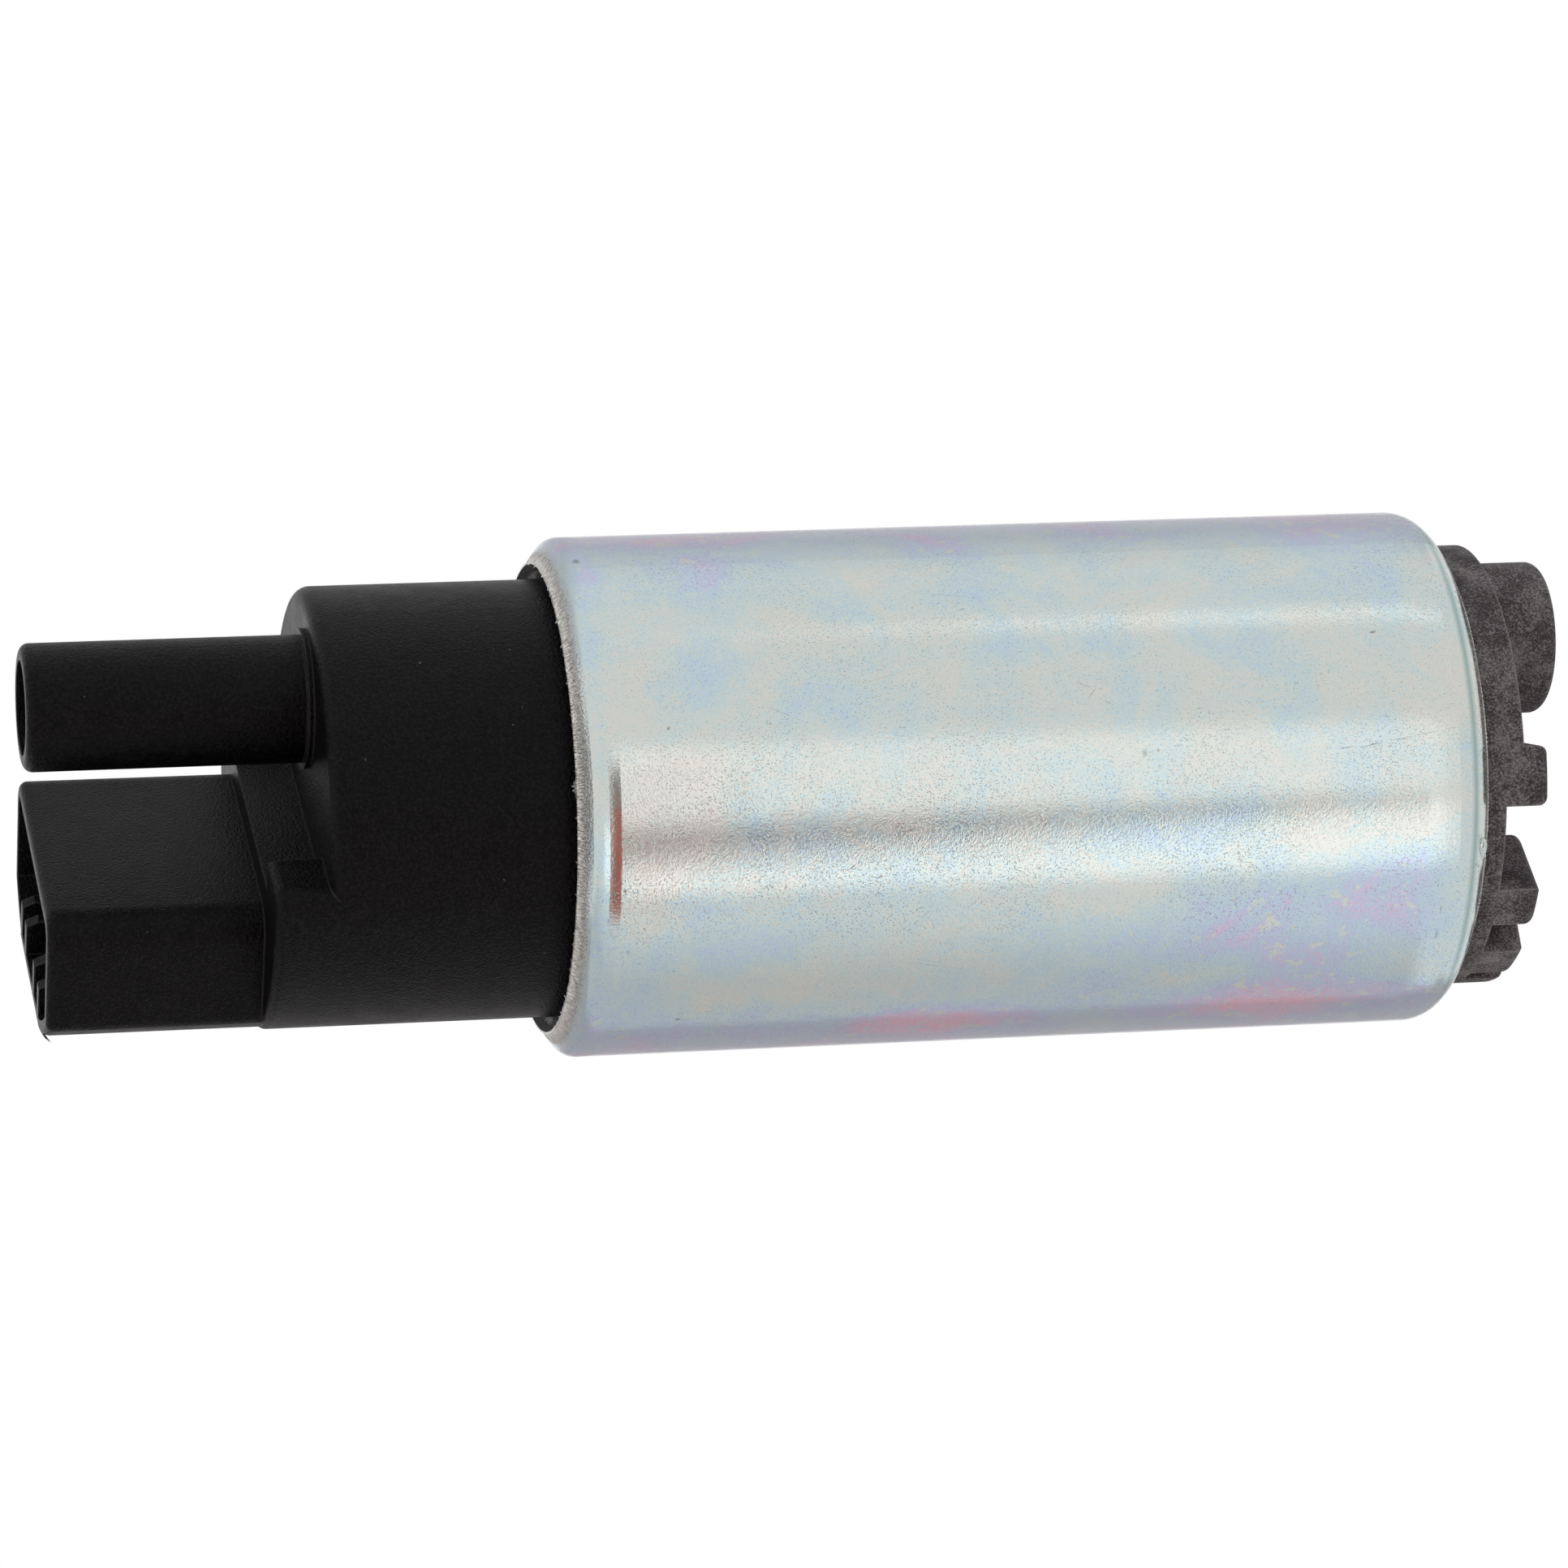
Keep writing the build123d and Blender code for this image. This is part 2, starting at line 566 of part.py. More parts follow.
# Brushes, with their springs and braided pigtails, and the two interference chokes.
tail_low_z = brush_top_z - tail_drop
tail_high_z = tail_low_z + tail_rise
tail_end_x = blade_x + math.sqrt(choke_coil_r ** 2 - (choke_y - brush_y) ** 2)
tail_mid_x = (tail_end_x - brush_wide / 2) / 2
choke_lead_y = choke_y + (choke_core_r + fit_gap + choke_coil_r) / 2   # the lead runs in the winding's wall
for name, side in (("a", 1), ("b", -1)):
    with BuildPart() as brush:
        with BuildSketch(Plane.XY.offset(brush_foot_z)):
            with Locations((0, side * brush_y)):
                Rectangle(brush_wide, brush_deep)
        extrude(amount=brush_tall)
        chamfer(brush.edges().group_by(Axis.Z)[-1], brush_chamfer)
    save(brush.part, f"brush_{name}")

    brush_spring = coil_spring(0, side * brush_y, brush_top_z, post_end_z, brush_coil_r, brush_wire,
                               brush_turns)
    save(brush_spring, f"brush_spring_{name}")

    with BuildPart() as pigtail:
        with BuildLine():
            FilletPolyline((-brush_wide / 2, side * brush_y, tail_low_z),
                           (tail_mid_x, side * brush_y, tail_low_z),
                           (tail_mid_x, side * brush_y, tail_high_z),
                           (tail_end_x, side * brush_y, tail_high_z), radius=tail_bend)
        tail_start = (-brush_wide / 2, side * brush_y, tail_low_z)
        with BuildSketch(Plane(origin=tail_start, z_dir=(-1, 0, 0))):
            Circle(lead_r)
        sweep()
    save(pigtail.part, f"pigtail_{name}")

    with BuildPart() as choke_core:
        with BuildSketch(Plane(origin=(blade_x, side * choke_y, choke_low_z))):
            Circle(choke_core_r)
        extrude(amount=choke_high_z - choke_low_z)
        chamfer(choke_core.edges().filter_by(GeomType.CIRCLE), choke_chamfer)
    save(choke_core.part, f"choke_core_{name}")

    with BuildPart() as choke_coil:
        with BuildSketch(Plane(origin=(blade_x, side * choke_y, choke_low_z + choke_bare))):
            Circle(choke_coil_r)
            Circle(choke_core_r + fit_gap, mode=Mode.SUBTRACT)
        extrude(amount=choke_high_z - choke_low_z - 2 * choke_bare)
        with BuildSketch(Plane(origin=(blade_x, side * choke_lead_y, choke_low_z + choke_bare))):
            Circle(lead_r)
        extrude(amount=terminal_foot_z - choke_low_z - choke_bare)
    save(choke_coil.part, f"choke_coil_{name}")

# Rotor shaft: ground steel, with a drive flat under the impeller.
with BuildPart() as rotor_shaft:
    with BuildSketch(Plane.XY.offset(shaft_low_z)):
        Circle(shaft_r)
    extrude(amount=shaft_high_z - shaft_low_z)
    chamfer(rotor_shaft.edges().filter_by(GeomType.CIRCLE), shaft_chamfer)
    with BuildSketch(Plane.XY.offset(shaft_low_z)):
        with Locations((shaft_r - flat_depth, 0)):
            Rectangle(shaft_r, 2 * shaft_r, align=(Align.MIN, Align.CENTER))
    extrude(amount=pocket_roof_z - impeller_gap - shaft_low_z, mode=Mode.SUBTRACT)
save(rotor_shaft.part, "rotor_shaft")

# Armature: stacked laminations with eight slots, wound with enamelled copper.
half_slot = 180 / core_slots
with BuildPart() as armature_core:
    with BuildSketch(Plane.XY.offset(core_low_z)):
        Circle(core_r)
        Circle(core_r - tooth_tip, mode=Mode.SUBTRACT)
        with PolarLocations(core_r, core_slots, start_angle=half_slot):
            Rectangle(4 * tooth_tip, slot_mouth, mode=Mode.SUBTRACT)
        with PolarLocations((core_r - tooth_tip / 2) / 2, core_slots):
            Rectangle(core_r - tooth_tip / 2, tooth_wide)
        Circle(slot_floor_r)
        Circle(shaft_r + fit_gap, mode=Mode.SUBTRACT)
    extrude(amount=core_high_z - core_low_z)
save(armature_core.part, "armature_core")

with BuildPart() as core_insulators:
    for face_z in (core_low_z - insulator, core_high_z):
        with BuildSketch(Plane.XY.offset(face_z)):
            with PolarLocations((core_r - tooth_tip / 2) / 2, core_slots):
                Rectangle(core_r - tooth_tip, tooth_wide)
            Circle(slot_floor_r)
            Circle(shaft_r + fit_gap, mode=Mode.SUBTRACT)
        extrude(amount=insulator)
save(core_insulators.part, "core_insulators")

coil_in_r = slot_floor_r + 2 * fit_gap
coil_out_r = core_r - tooth_tip - 2 * fit_gap
with BuildPart() as windings:
    with BuildSketch(Plane.XY.offset(core_low_z - insulator)):
        Circle(coil_out_r)
        Circle(coil_in_r, mode=Mode.SUBTRACT)
        with PolarLocations(core_r / 2, core_slots):
            Rectangle(core_r, tooth_wide + 4 * fit_gap, mode=Mode.SUBTRACT)
    extrude(amount=core_high_z - core_low_z + 2 * insulator)
    for head_z, corner in ((core_low_z - insulator - end_turn, 0), (core_high_z + insulator, -1)):
        with BuildSketch(Plane.XZ) as head:
            with Locations(((coil_in_r + coil_out_r) / 2, head_z + end_turn / 2)):
                Rectangle(coil_out_r - coil_in_r, end_turn)
            fillet(head.vertices().sort_by(Axis.X)[-2:].sort_by(Axis.Y)[corner], end_turn_round)
        revolve(axis=Axis.Z)
save(windings.part, "windings")

# Commutator: eight copper segments on a moulded base, with a flat running face.
commutator_low_z = commutator_z - commutator_thick
with BuildPart() as commutator_base:
    with BuildSketch(Plane.XY.offset(commutator_low_z - commutator_base_high)):
        Circle(commutator_r)
        Circle(shaft_r + fit_gap, mode=Mode.SUBTRACT)
    extrude(amount=commutator_base_high)
    with BuildSketch(Plane.XY.offset(commutator_low_z)):
        Circle(segment_in_r - segment_gap)
        Circle(shaft_r + fit_gap, mode=Mode.SUBTRACT)
    extrude(amount=commutator_hub_high)
save(commutator_base.part, "commutator_base")

with BuildPart() as commutator_segments:
    with BuildSketch(Plane.XY.offset(commutator_low_z)):
        Circle(commutator_r)
        Circle(segment_in_r, mode=Mode.SUBTRACT)
        with PolarLocations(commutator_r / 2, core_slots, start_angle=half_slot):
            Rectangle(commutator_r + segment_gap, segment_gap, mode=Mode.SUBTRACT)
    extrude(amount=commutator_thick)
save(commutator_segments.part, "commutator_segments")

# Magnets: two ferrite arcs against the case, held apart by two spring clips.
for name, middle_deg in (("a", 90), ("b", 270)):
    with BuildPart() as magnet:
        with BuildSketch(Plane.XY.offset(-magnet_half)):
            Circle(seat_r)
            Circle(magnet_r, mode=Mode.SUBTRACT)
            add(sector(middle_deg, magnet_span_deg / 2), mode=Mode.INTERSECT)
        extrude(amount=2 * magnet_half)
    save(magnet.part, f"magnet_{name}")

clip_half_deg = (180 - magnet_span_deg) / 2
clip_hollow_half_deg = clip_half_deg - clip_gap_deg - math.degrees(clip_sheet / magnet_r)
for name, middle_deg in (("a", 0), ("b", 180)):
    with BuildPart() as clip:
        with BuildSketch(Plane.XY.offset(-magnet_half)):
            Circle(seat_r)
            Circle(magnet_r + clip_sheet, mode=Mode.SUBTRACT)
            add(sector(middle_deg, clip_half_deg - clip_gap_deg), mode=Mode.INTERSECT)
        extrude(amount=2 * magnet_half)
        with BuildSketch(Plane.XY.offset(-magnet_half)):
            Circle(seat_r - clip_sheet)
            add(sector(middle_deg, clip_hollow_half_deg), mode=Mode.INTERSECT)
        extrude(amount=2 * magnet_half, mode=Mode.SUBTRACT)
    save(clip.part, f"magnet_clip_{name}")

# Pump casing: a cup over the impeller, with the upper half of the flow channel, the
# delivery port and the lower bush; its rim reaches up to the magnets.
bush_seat_r = bush_r + fit_gap
port_deg = channel_turn_deg - port_back_deg
with BuildPart() as pump_casing:
    with BuildSketch(Plane.XZ):
        with BuildLine():
            Polyline((bush_seat_r, pocket_roof_z), (pocket_r, pocket_roof_z), (pocket_r, joint_z),
                     (seat_r, joint_z), (seat_r, -magnet_half), (rim_r, -magnet_half),
                     (rim_r, casing_top_z), (bush_seat_r, casing_top_z), close=True)
        make_face()
    revolve(axis=Axis.Z)
    with BuildSketch(Plane.XZ):
        with Locations((channel_mid_r, pocket_roof_z)):
            Circle(vane_depth / 2)
    revolve(axis=Axis.Z, revolution_arc=channel_turn_deg, mode=Mode.SUBTRACT)
    with BuildSketch(Plane.XY.offset(pocket_roof_z)):
        with PolarLocations(channel_mid_r, 1, start_angle=port_deg):
            Circle(port_r)
    extrude(amount=casing_roof, mode=Mode.SUBTRACT)
save(pump_casing.part, "pump_casing")

with BuildPart() as lower_bush:
    with BuildSketch(Plane.XY.offset(pocket_roof_z)):
        Circle(bush_r)
        Circle(shaft_r + shaft_gap, mode=Mode.SUBTRACT)
    extrude(amount=casing_roof)
save(lower_bush.part, "lower_bush")

# Impeller: a moulded disc with a ring of vane pockets cut into both faces, closed by a thin
# rim. The pockets of the two faces are staggered by half a pitch.
impeller_low_z = joint_z + impeller_gap
vane_wide = vane_share * 2 * math.pi * channel_mid_r / vane_count
with BuildPart() as impeller:
    with BuildSketch(Plane.XY.offset(impeller_low_z)):
        Circle(impeller_r)
        Circle(shaft_r + fit_gap, mode=Mode.SUBTRACT)
        with Locations((shaft_r - flat_depth + fit_gap, 0)):
            Rectangle(flat_depth + 2 * fit_gap, shaft_r, align=(Align.MIN, Align.CENTER))
        with PolarLocations(impeller_r / 2, balance_holes, start_angle=180 / balance_holes):
            Circle(balance_hole_r, mode=Mode.SUBTRACT)
    extrude(amount=impeller_thick)
    impeller_top_z = impeller_low_z + impeller_thick
    for face_z, depth, stagger in ((impeller_low_z, vane_cut, 0), (impeller_top_z, -vane_cut, 0.5)):
        with BuildSketch(Plane.XY.offset(face_z)):
            with PolarLocations(channel_mid_r, vane_count, start_angle=stagger * 360 / vane_count):
                Rectangle(vane_depth, vane_wide)
        extrude(amount=depth, mode=Mode.SUBTRACT)
save(impeller.part, "impeller")

# Thrust plate: a hard disc in the inlet cover that the shaft's end runs on.
with BuildPart() as thrust_plate:
    with BuildSketch(Plane.XY.offset(shaft_low_z - thrust_thick)):
        Circle(thrust_r)
    extrude(amount=thrust_thick)
save(thrust_plate.part, "thrust_plate")

# Inlet cover: the lower half of the flow channel inside, and outside the inlet boss on a
# raised plateau, with radial lugs round the rest of the rim.
inlet_slope = (inlet_flange_z - inlet_lip_z - crimp_land) / (case_bore_r - inlet_lip_r)
inlet_shoulder_z = inlet_flange_z - (seat_r - inlet_r) * inlet_slope
lug_mid_r = (lug_in_r + inlet_r + root) / 2
lug_long = inlet_r + root - lug_in_r
wide_mid_deg = (wide_lug_deg[0] + wide_lug_deg[1]) / 2
wide_half_deg = (wide_lug_deg[1] - wide_lug_deg[0]) / 2
with BuildPart() as inlet_cover:
    with BuildSketch(Plane.XZ):
        with BuildLine():
            Polyline((0, joint_z), (seat_r, joint_z), (seat_r, inlet_flange_z), (inlet_r, inlet_shoulder_z),
                     (inlet_r, inlet_base_z), (0, inlet_base_z), close=True)
        make_face()
    revolve(axis=Axis.Z)
    with BuildSketch(Plane.XY.offset(inlet_plateau_z)):
        Circle(inlet_r)
        add(sector(0, inlet_plateau_deg), mode=Mode.INTERSECT)
    extrude(amount=inlet_base_z - inlet_plateau_z)
    # lugs, the same on both sides of the boss
    with BuildSketch(Plane.XY.offset(lug_z)):
        for side in (1, -1):
            for angle, width in lugs:
                with PolarLocations(lug_mid_r, 1, start_angle=side * angle):
                    Rectangle(lug_long, width)
        Circle(inlet_r, mode=Mode.INTERSECT)
    extrude(amount=inlet_base_z - lug_z)
    for side in (1, -1):
        with BuildSketch(Plane.XY.offset(lug_z)):
            Circle(inlet_r)
            Circle(lug_in_r, mode=Mode.SUBTRACT)
            add(sector(side * wide_mid_deg, wide_half_deg), mode=Mode.INTERSECT)
        extrude(amount=inlet_base_z - lug_z)
    fillet(inlet_cover.edges().group_by(Axis.Z)[0], lug_round)
    with BuildSketch(Plane.XY.offset(boss_tip_z)):
        with Locations((boss_x, 0)):
            Circle(boss_r)
    extrude(amount=inlet_base_z - boss_tip_z)
    fillet(inlet_cover.edges().group_by(Axis.Z)[0], boss_round)
    # inlet bore, the port it narrows to and the lower half of the flow channel
    with BuildSketch(Plane.XY.offset(boss_tip_z)):
        with Locations((boss_x, 0)):
            Circle(boss_bore_r)
    extrude(amount=boss_bore_end_z - boss_tip_z, mode=Mode.SUBTRACT)
    with BuildSketch(Plane.XY.offset(joint_z)):
        with Locations((channel_mid_r - vane_depth / 2, 0)):
            Circle(inlet_port_r)
    extrude(amount=boss_bore_end_z - joint_z, mode=Mode.SUBTRACT)
    with BuildSketch(Plane.XZ):
        with Locations((channel_mid_r, joint_z)):
            Circle(vane_depth / 2)
    revolve(axis=Axis.Z, revolution_arc=channel_turn_deg, mode=Mode.SUBTRACT)
    # seat of the thrust plate
    with BuildSketch(Plane.XY.offset(joint_z)):
        Circle(thrust_r + fit_gap)
    extrude(amount=shaft_low_z - thrust_thick - joint_z, mode=Mode.SUBTRACT)
save(inlet_cover.part, "inlet_cover")
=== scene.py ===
# %% [markdown]
# # An in-tank fuel pump
# The real pump is a plated steel tube, rolled shut over two plastic mouldings. The CAD model holds
# every piece at its real size. This script adds what CAD leaves out: the finishes, the torn edges
# of the rolled steel, the small shreds of flash that moulding leaves, and springs in round wire.
# Everything is in metres, in the CAD model's own frame, with the pump's axis along Z and the outlet
# on top.

# %% Load the frame
import bmesh
import bpy
import json
import math
import numpy as np
from mathutils import Matrix, Vector


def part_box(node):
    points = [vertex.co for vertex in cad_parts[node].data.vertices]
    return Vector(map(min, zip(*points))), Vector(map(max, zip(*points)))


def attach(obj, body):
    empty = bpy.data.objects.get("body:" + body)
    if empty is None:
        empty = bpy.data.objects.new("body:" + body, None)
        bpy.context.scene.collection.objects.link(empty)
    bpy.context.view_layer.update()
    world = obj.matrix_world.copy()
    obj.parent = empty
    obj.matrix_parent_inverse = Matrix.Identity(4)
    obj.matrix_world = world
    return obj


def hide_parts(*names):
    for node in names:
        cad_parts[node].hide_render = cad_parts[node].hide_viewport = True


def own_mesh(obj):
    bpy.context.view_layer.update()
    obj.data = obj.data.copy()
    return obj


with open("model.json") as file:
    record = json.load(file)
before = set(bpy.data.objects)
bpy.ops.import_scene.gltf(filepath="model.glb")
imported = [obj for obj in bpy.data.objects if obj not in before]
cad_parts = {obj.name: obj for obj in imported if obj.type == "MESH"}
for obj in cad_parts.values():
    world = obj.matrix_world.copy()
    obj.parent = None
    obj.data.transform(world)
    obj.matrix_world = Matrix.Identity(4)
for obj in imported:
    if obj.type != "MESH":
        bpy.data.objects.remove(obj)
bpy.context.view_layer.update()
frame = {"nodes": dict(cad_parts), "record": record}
nodes = frame["nodes"]
MM = 0.001

# %% [markdown]
# ## Camera
# The photograph was taken with a long lens, a little above the pump and rolled so that the pump
# lies across the frame. A camera can be set by eye, or solved from the object. Here the place, the
# turn and the lens were solved from the tube's outline and end circles, so nothing is framed by eye.

# %% Camera
CAMERA_PLACE = Vector((267.27, -453.02, 120.63)) * MM
CAMERA_RIGHT = Vector((0.067899, -0.188121, -0.979796))
CAMERA_UP = Vector((0.864731, 0.500925, -0.036253))
LENS_MM = 167.45
SENSOR_MM = 36.0
NEAREST = 0.01  # the camera sees from here to FARTHEST, in metres
FARTHEST = 60.0

camera_data = bpy.data.cameras.new("camera")
camera_data.lens = LENS_MM
camera_data.sensor_width = SENSOR_MM
camera_data.clip_start = NEAREST
camera_data.clip_end = FARTHEST
camera = bpy.data.objects.new("camera", camera_data)
bpy.context.scene.collection.objects.link(camera)
camera_turn = Matrix((CAMERA_RIGHT, CAMERA_UP, CAMERA_RIGHT.cross(CAMERA_UP))).transposed()
camera.matrix_world = Matrix.Translation(CAMERA_PLACE) @ camera_turn.to_4x4()
bpy.context.scene.camera = camera
print("camera distance in mm:", round(CAMERA_PLACE.length / MM, 1))

# %% [markdown]
# ## Nodes and colours
# Colours are written as sRGB hex values, as a paint chart gives them, and one function turns them
# into the linear values that a shader wants. One more function adds a shader node with its
# settings and its links and gives back an output, so that a material reads like a recipe.

# %% Helpers for materials
NOISE = "ShaderNodeTexNoise"
SPAN = "ShaderNodeMapRange"
MATH = "ShaderNodeMath"
MIX = "ShaderNodeMix"
RAMP = "ShaderNodeValToRGB"
BUMP = "ShaderNodeBump"
PLACE = "ShaderNodeMapping"
# MATH reads inputs 0, 1 and 2. SPAN carries the span from 1 to 2 onto the span from 3 to 4, or onto
# 0 to 1. MIX goes from colour 6 to colour 7 by the share in 0, and its output 2 is the colour.


def linear(code):
    """A hex sRGB colour as linear red, green, blue and an alpha of 1.

    Each channel c becomes c / 12.92 below 0.04045, and ((c + 0.055) / 1.055) ** 2.4 above it.
    """
    channels = [int(code[place:place + 2], 16) / 255 for place in (1, 3, 5)]
    return [c / 12.92 if c <= 0.04045 else ((c + 0.055) / 1.055) ** 2.4 for c in channels] + [1.0]


def per_mm(size):
    """Texture scale at which a feature measures that many millimetres on Object coordinates."""
    return 1 / (size * MM)


def add(tree, kind, inputs=None, out=0, stops=(), **settings):
    """Add a shader node and give back one of its outputs, by number or name.

    inputs goes from an input's name or number to a value, a hex colour or another node's output.
    settings are the node's properties. stops are a colour ramp's places and hex colours.
    """
    made = tree.nodes.new(kind)
    for name, value in settings.items():
        setattr(made, name, value)
    for name, value in (inputs or {}).items():
        if isinstance(value, bpy.types.NodeSocket):
            tree.links.new(value, made.inputs[name])
        else:
            made.inputs[name].default_value = linear(value) if isinstance(value, str) else value
    for number, (place, code) in enumerate(stops):
        elements = made.color_ramp.elements
        element = elements[number] if number < 2 else elements.new(place)
        element.position = place
        element.color = linear(code)
    return made.outputs[out]


def start(name, **shader_values):
    """A new material: its node tree, its shader and the surface's Object coordinates."""
    material = bpy.data.materials.new(name)
    material.use_nodes = True
    tree = material.node_tree
    shader = tree.nodes["Principled BSDF"]
    for socket, value in shader_values.items():
        shader.inputs[socket.replace("_", " ")].default_value = value
    return material, tree, shader, add(tree, "ShaderNodeTexCoord", out="Object")


def join(tree, shader, **sockets):
    """Link each output to the shader's input of that name."""
    for name, output in sockets.items():
        tree.links.new(output, shader.inputs[name.replace("_", " ")])


print("1 mm grain on Object coordinates has texture scale", per_mm(1))

# %% [markdown]
# ## Room
# The photograph has a pure white ground. More light would bleach the pump, so instead the world and
# the floor look white only to camera, mirror and glass rays, and light the pump at a plain level.

# %% World
WORLD_LEVEL = 0.80


def seen_rays(tree):
    """1 on the rays that show a surface: from the camera, off a mirror or through glass."""
    names = ("Is Camera Ray", "Is Glossy Ray", "Is Transmission Ray")
    rays = [add(tree, "ShaderNodeLightPath", out=name) for name in names]
    mirrored = add(tree, MATH, {0: rays[1], 1: rays[2]}, operation="MAXIMUM")
    return add(tree, MATH, {0: rays[0], 1: mirrored}, operation="MAXIMUM")


bpy.context.scene.view_settings.view_transform = "Standard"
world = bpy.data.worlds.new("studio")
world.use_nodes = True
bpy.context.scene.world = world
world_tree = world.node_tree
room = add(world_tree, "ShaderNodeBackground", {"Color": "#ffffff", "Strength": WORLD_LEVEL})
white = add(world_tree, "ShaderNodeBackground", {"Color": "#ffffff", "Strength": 1.0})
sky = add(world_tree, "ShaderNodeMixShader", {0: seen_rays(world_tree), 1: room, 2: white})
world_tree.links.new(sky, world_tree.nodes["World Output"].inputs["Surface"])
print("world level:", WORLD_LEVEL)

# %% [markdown]
# ## Floor
# The floor is a sheet of white paper that glows just enough to look pure white. A small share of it
# stays ordinary paper, and that share keeps the soft shadow. It lies well below the pump, which its
# bracket holds in the air.

# %% Floor
FLOOR_Z = -0.60
FLOOR_HALF = 14.0
GROUND_SHARE = 0.93  # of the floor glows, and the rest is paper
GROUND_LEVEL = 1.02  # makes up for the paper's share, so that unshaded floor is white

paper, paper_tree, paper_shader, _ = start("white_paper", Roughness=0.9)
paper_shader.inputs["Base Color"].default_value = linear("#f4f4f4")
glow = add(paper_tree, "ShaderNodeEmission", {"Color": "#ffffff", "Strength": GROUND_LEVEL})
share = add(paper_tree, MATH, {0: seen_rays(paper_tree), 1: GROUND_SHARE}, operation="MULTIPLY")
ground = add(paper_tree, "ShaderNodeMixShader", {0: share, 1: paper_shader.outputs[0], 2: glow})
paper_tree.links.new(ground, paper_tree.nodes["Material Output"].inputs["Surface"])

floor_mesh = bpy.data.meshes.new("floor")
floor_mesh.from_pydata([(x * FLOOR_HALF, y * FLOOR_HALF, FLOOR_Z) for x, y in
                        ((-1, -1), (1, -1), (1, 1), (-1, 1))], [], [(0, 1, 2, 3)])
floor_mesh.materials.append(paper)
floor = bpy.data.objects.new("floor", floor_mesh)
bpy.context.scene.collection.objects.link(floor)
print("floor at", FLOOR_Z, "m")

# %% [markdown]
# ## Panels
# A polished tube shows what stands round it, so its stripes are the studio's plan. Each panel here
# stands at the azimuth that the tube mirrors into the lens at that stripe: two wide ones for the
# broad bands, and a narrow one for the thin bright line.

# %% Panels
CAMERA_AZIMUTH = math.atan2(CAMERA_PLACE.y, CAMERA_PLACE.x)
PANEL_DISTANCE = 0.95
# name, azimuth from the camera's in degrees, width, lowest and highest z in metres, radiance
PANELS = (
    ("panel_front", 4.5, 0.525, -0.67, 0.39, 0.28),
    ("panel_strip", 73.0, 0.07, -0.90, -0.20, 0.55),
    ("panel_low", -30.7, 0.48, -0.67, 1.10, 0.51),
)


def on_wall(azimuth, height, distance):
    """A point round the pump: azimuth in degrees from the camera's, height and distance in metres."""
    angle = CAMERA_AZIMUTH + math.radians(azimuth)
    return Vector((distance * math.cos(angle), distance * math.sin(angle), height))


for name, azimuth, width, low, high, radiance in PANELS:
    lamp_data = bpy.data.lights.new(name, "AREA")
    lamp_data.shape = "RECTANGLE"
    lamp_data.size = width
    lamp_data.size_y = high - low
    # the power that gives this radiance is pi times it times the area
    lamp_data.energy = radiance * math.pi * width * (high - low)
    lamp = bpy.data.objects.new(name, lamp_data)
    place = on_wall(azimuth, 0.0, PANEL_DISTANCE)
    turn = place.to_track_quat("Z", "Y").to_matrix().to_4x4()
    lamp.matrix_world = Matrix.Translation(place + Vector((0, 0, (low + high) / 2))) @ turn
    lamp.visible_camera = False
    bpy.context.scene.collection.objects.link(lamp)
print("panels:", len(PANELS))

# %% [markdown]
# ## Cards and papers
# The two wide panels leave a gap in front, and a grey card closes it: that is the dark line along the
# tube. The card narrows downwards, because the inlet end mirrors lower than the outlet end. A
# brick-red card stands above, where only the tight bend at the outlet end finds it, with a grey one
# beside it. Sheets of paper at both sides are a little darker than the room, so the tube's outline
# stands out from the white. Their near edges are cut in teeth, as a feathered edge in a studio is.

# %% Cards and papers
CARD_DISTANCE = 0.88
# name, colour, then azimuth in degrees and height in metres of each corner
CARDS = (
    ("grey_card", "#968c8f", ((-37.0, -0.10), (-19.0, -0.10), (-15.0, -0.19), (-12.0, -0.27), (-14.5, -0.27),
                              (-23.0, -0.19))),
    ("brick_card", "#d98b7d", ((-55.0, -0.06), (-6.0, -0.06), (-6.0, 0.40), (-55.0, 0.40))),
    ("shade_card", "#b8b2ab", ((-6.0, -0.06), (12.0, -0.06), (12.0, 0.40), (-6.0, 0.40))),
)
# name, colour, heights of the near edge's points, their azimuths, depth of its teeth, far azimuth
PAPERS = (
    ("side_paper", "#fdfdfd", (-0.36, -0.155, 1.50), (-86.0, -56.0, -50.0), -36.0, -122.0),
    ("low_paper", "#dcd9db", (-0.58, 1.50), (-122.0, -122.0), -3.0, -168.0),
    ("top_paper", "#f4f4f6", (-0.58, 1.50), (142.0, 142.0), -34.0, 168.0),
)
PAPER_TEETH = 60

cards = list(CARDS)
for name, code, heights, azimuths, depth, far in PAPERS:
    # teeth finer than the tube's blur make the paper's edge fade out
    steps = np.linspace(heights[0], heights[-1], 2 * PAPER_TEETH + 1)
    near = np.interp(steps, heights, azimuths) + depth * (np.arange(steps.size) % 2)
    cards.append((name, code, [(far, heights[0])] + list(zip(near, steps)) + [(far, heights[-1])]))

for name, code, corners in cards:
    card_mesh = bpy.data.meshes.new(name)
    card_mesh.from_pydata([on_wall(azimuth, height, CARD_DISTANCE) for azimuth, height in corners],
                          [], [tuple(range(len(corners)))])
    paint, _, paint_shader, _ = start(name + "_paint", Roughness=0.9, Specular_IOR_Level=0.1)
    paint_shader.inputs["Base Color"].default_value = linear(code)
    card_mesh.materials.append(paint)
    card = bpy.data.objects.new(name, card_mesh)
    card.visible_camera = False
    bpy.context.scene.collection.objects.link(card)
print("cards and papers:", len(cards))

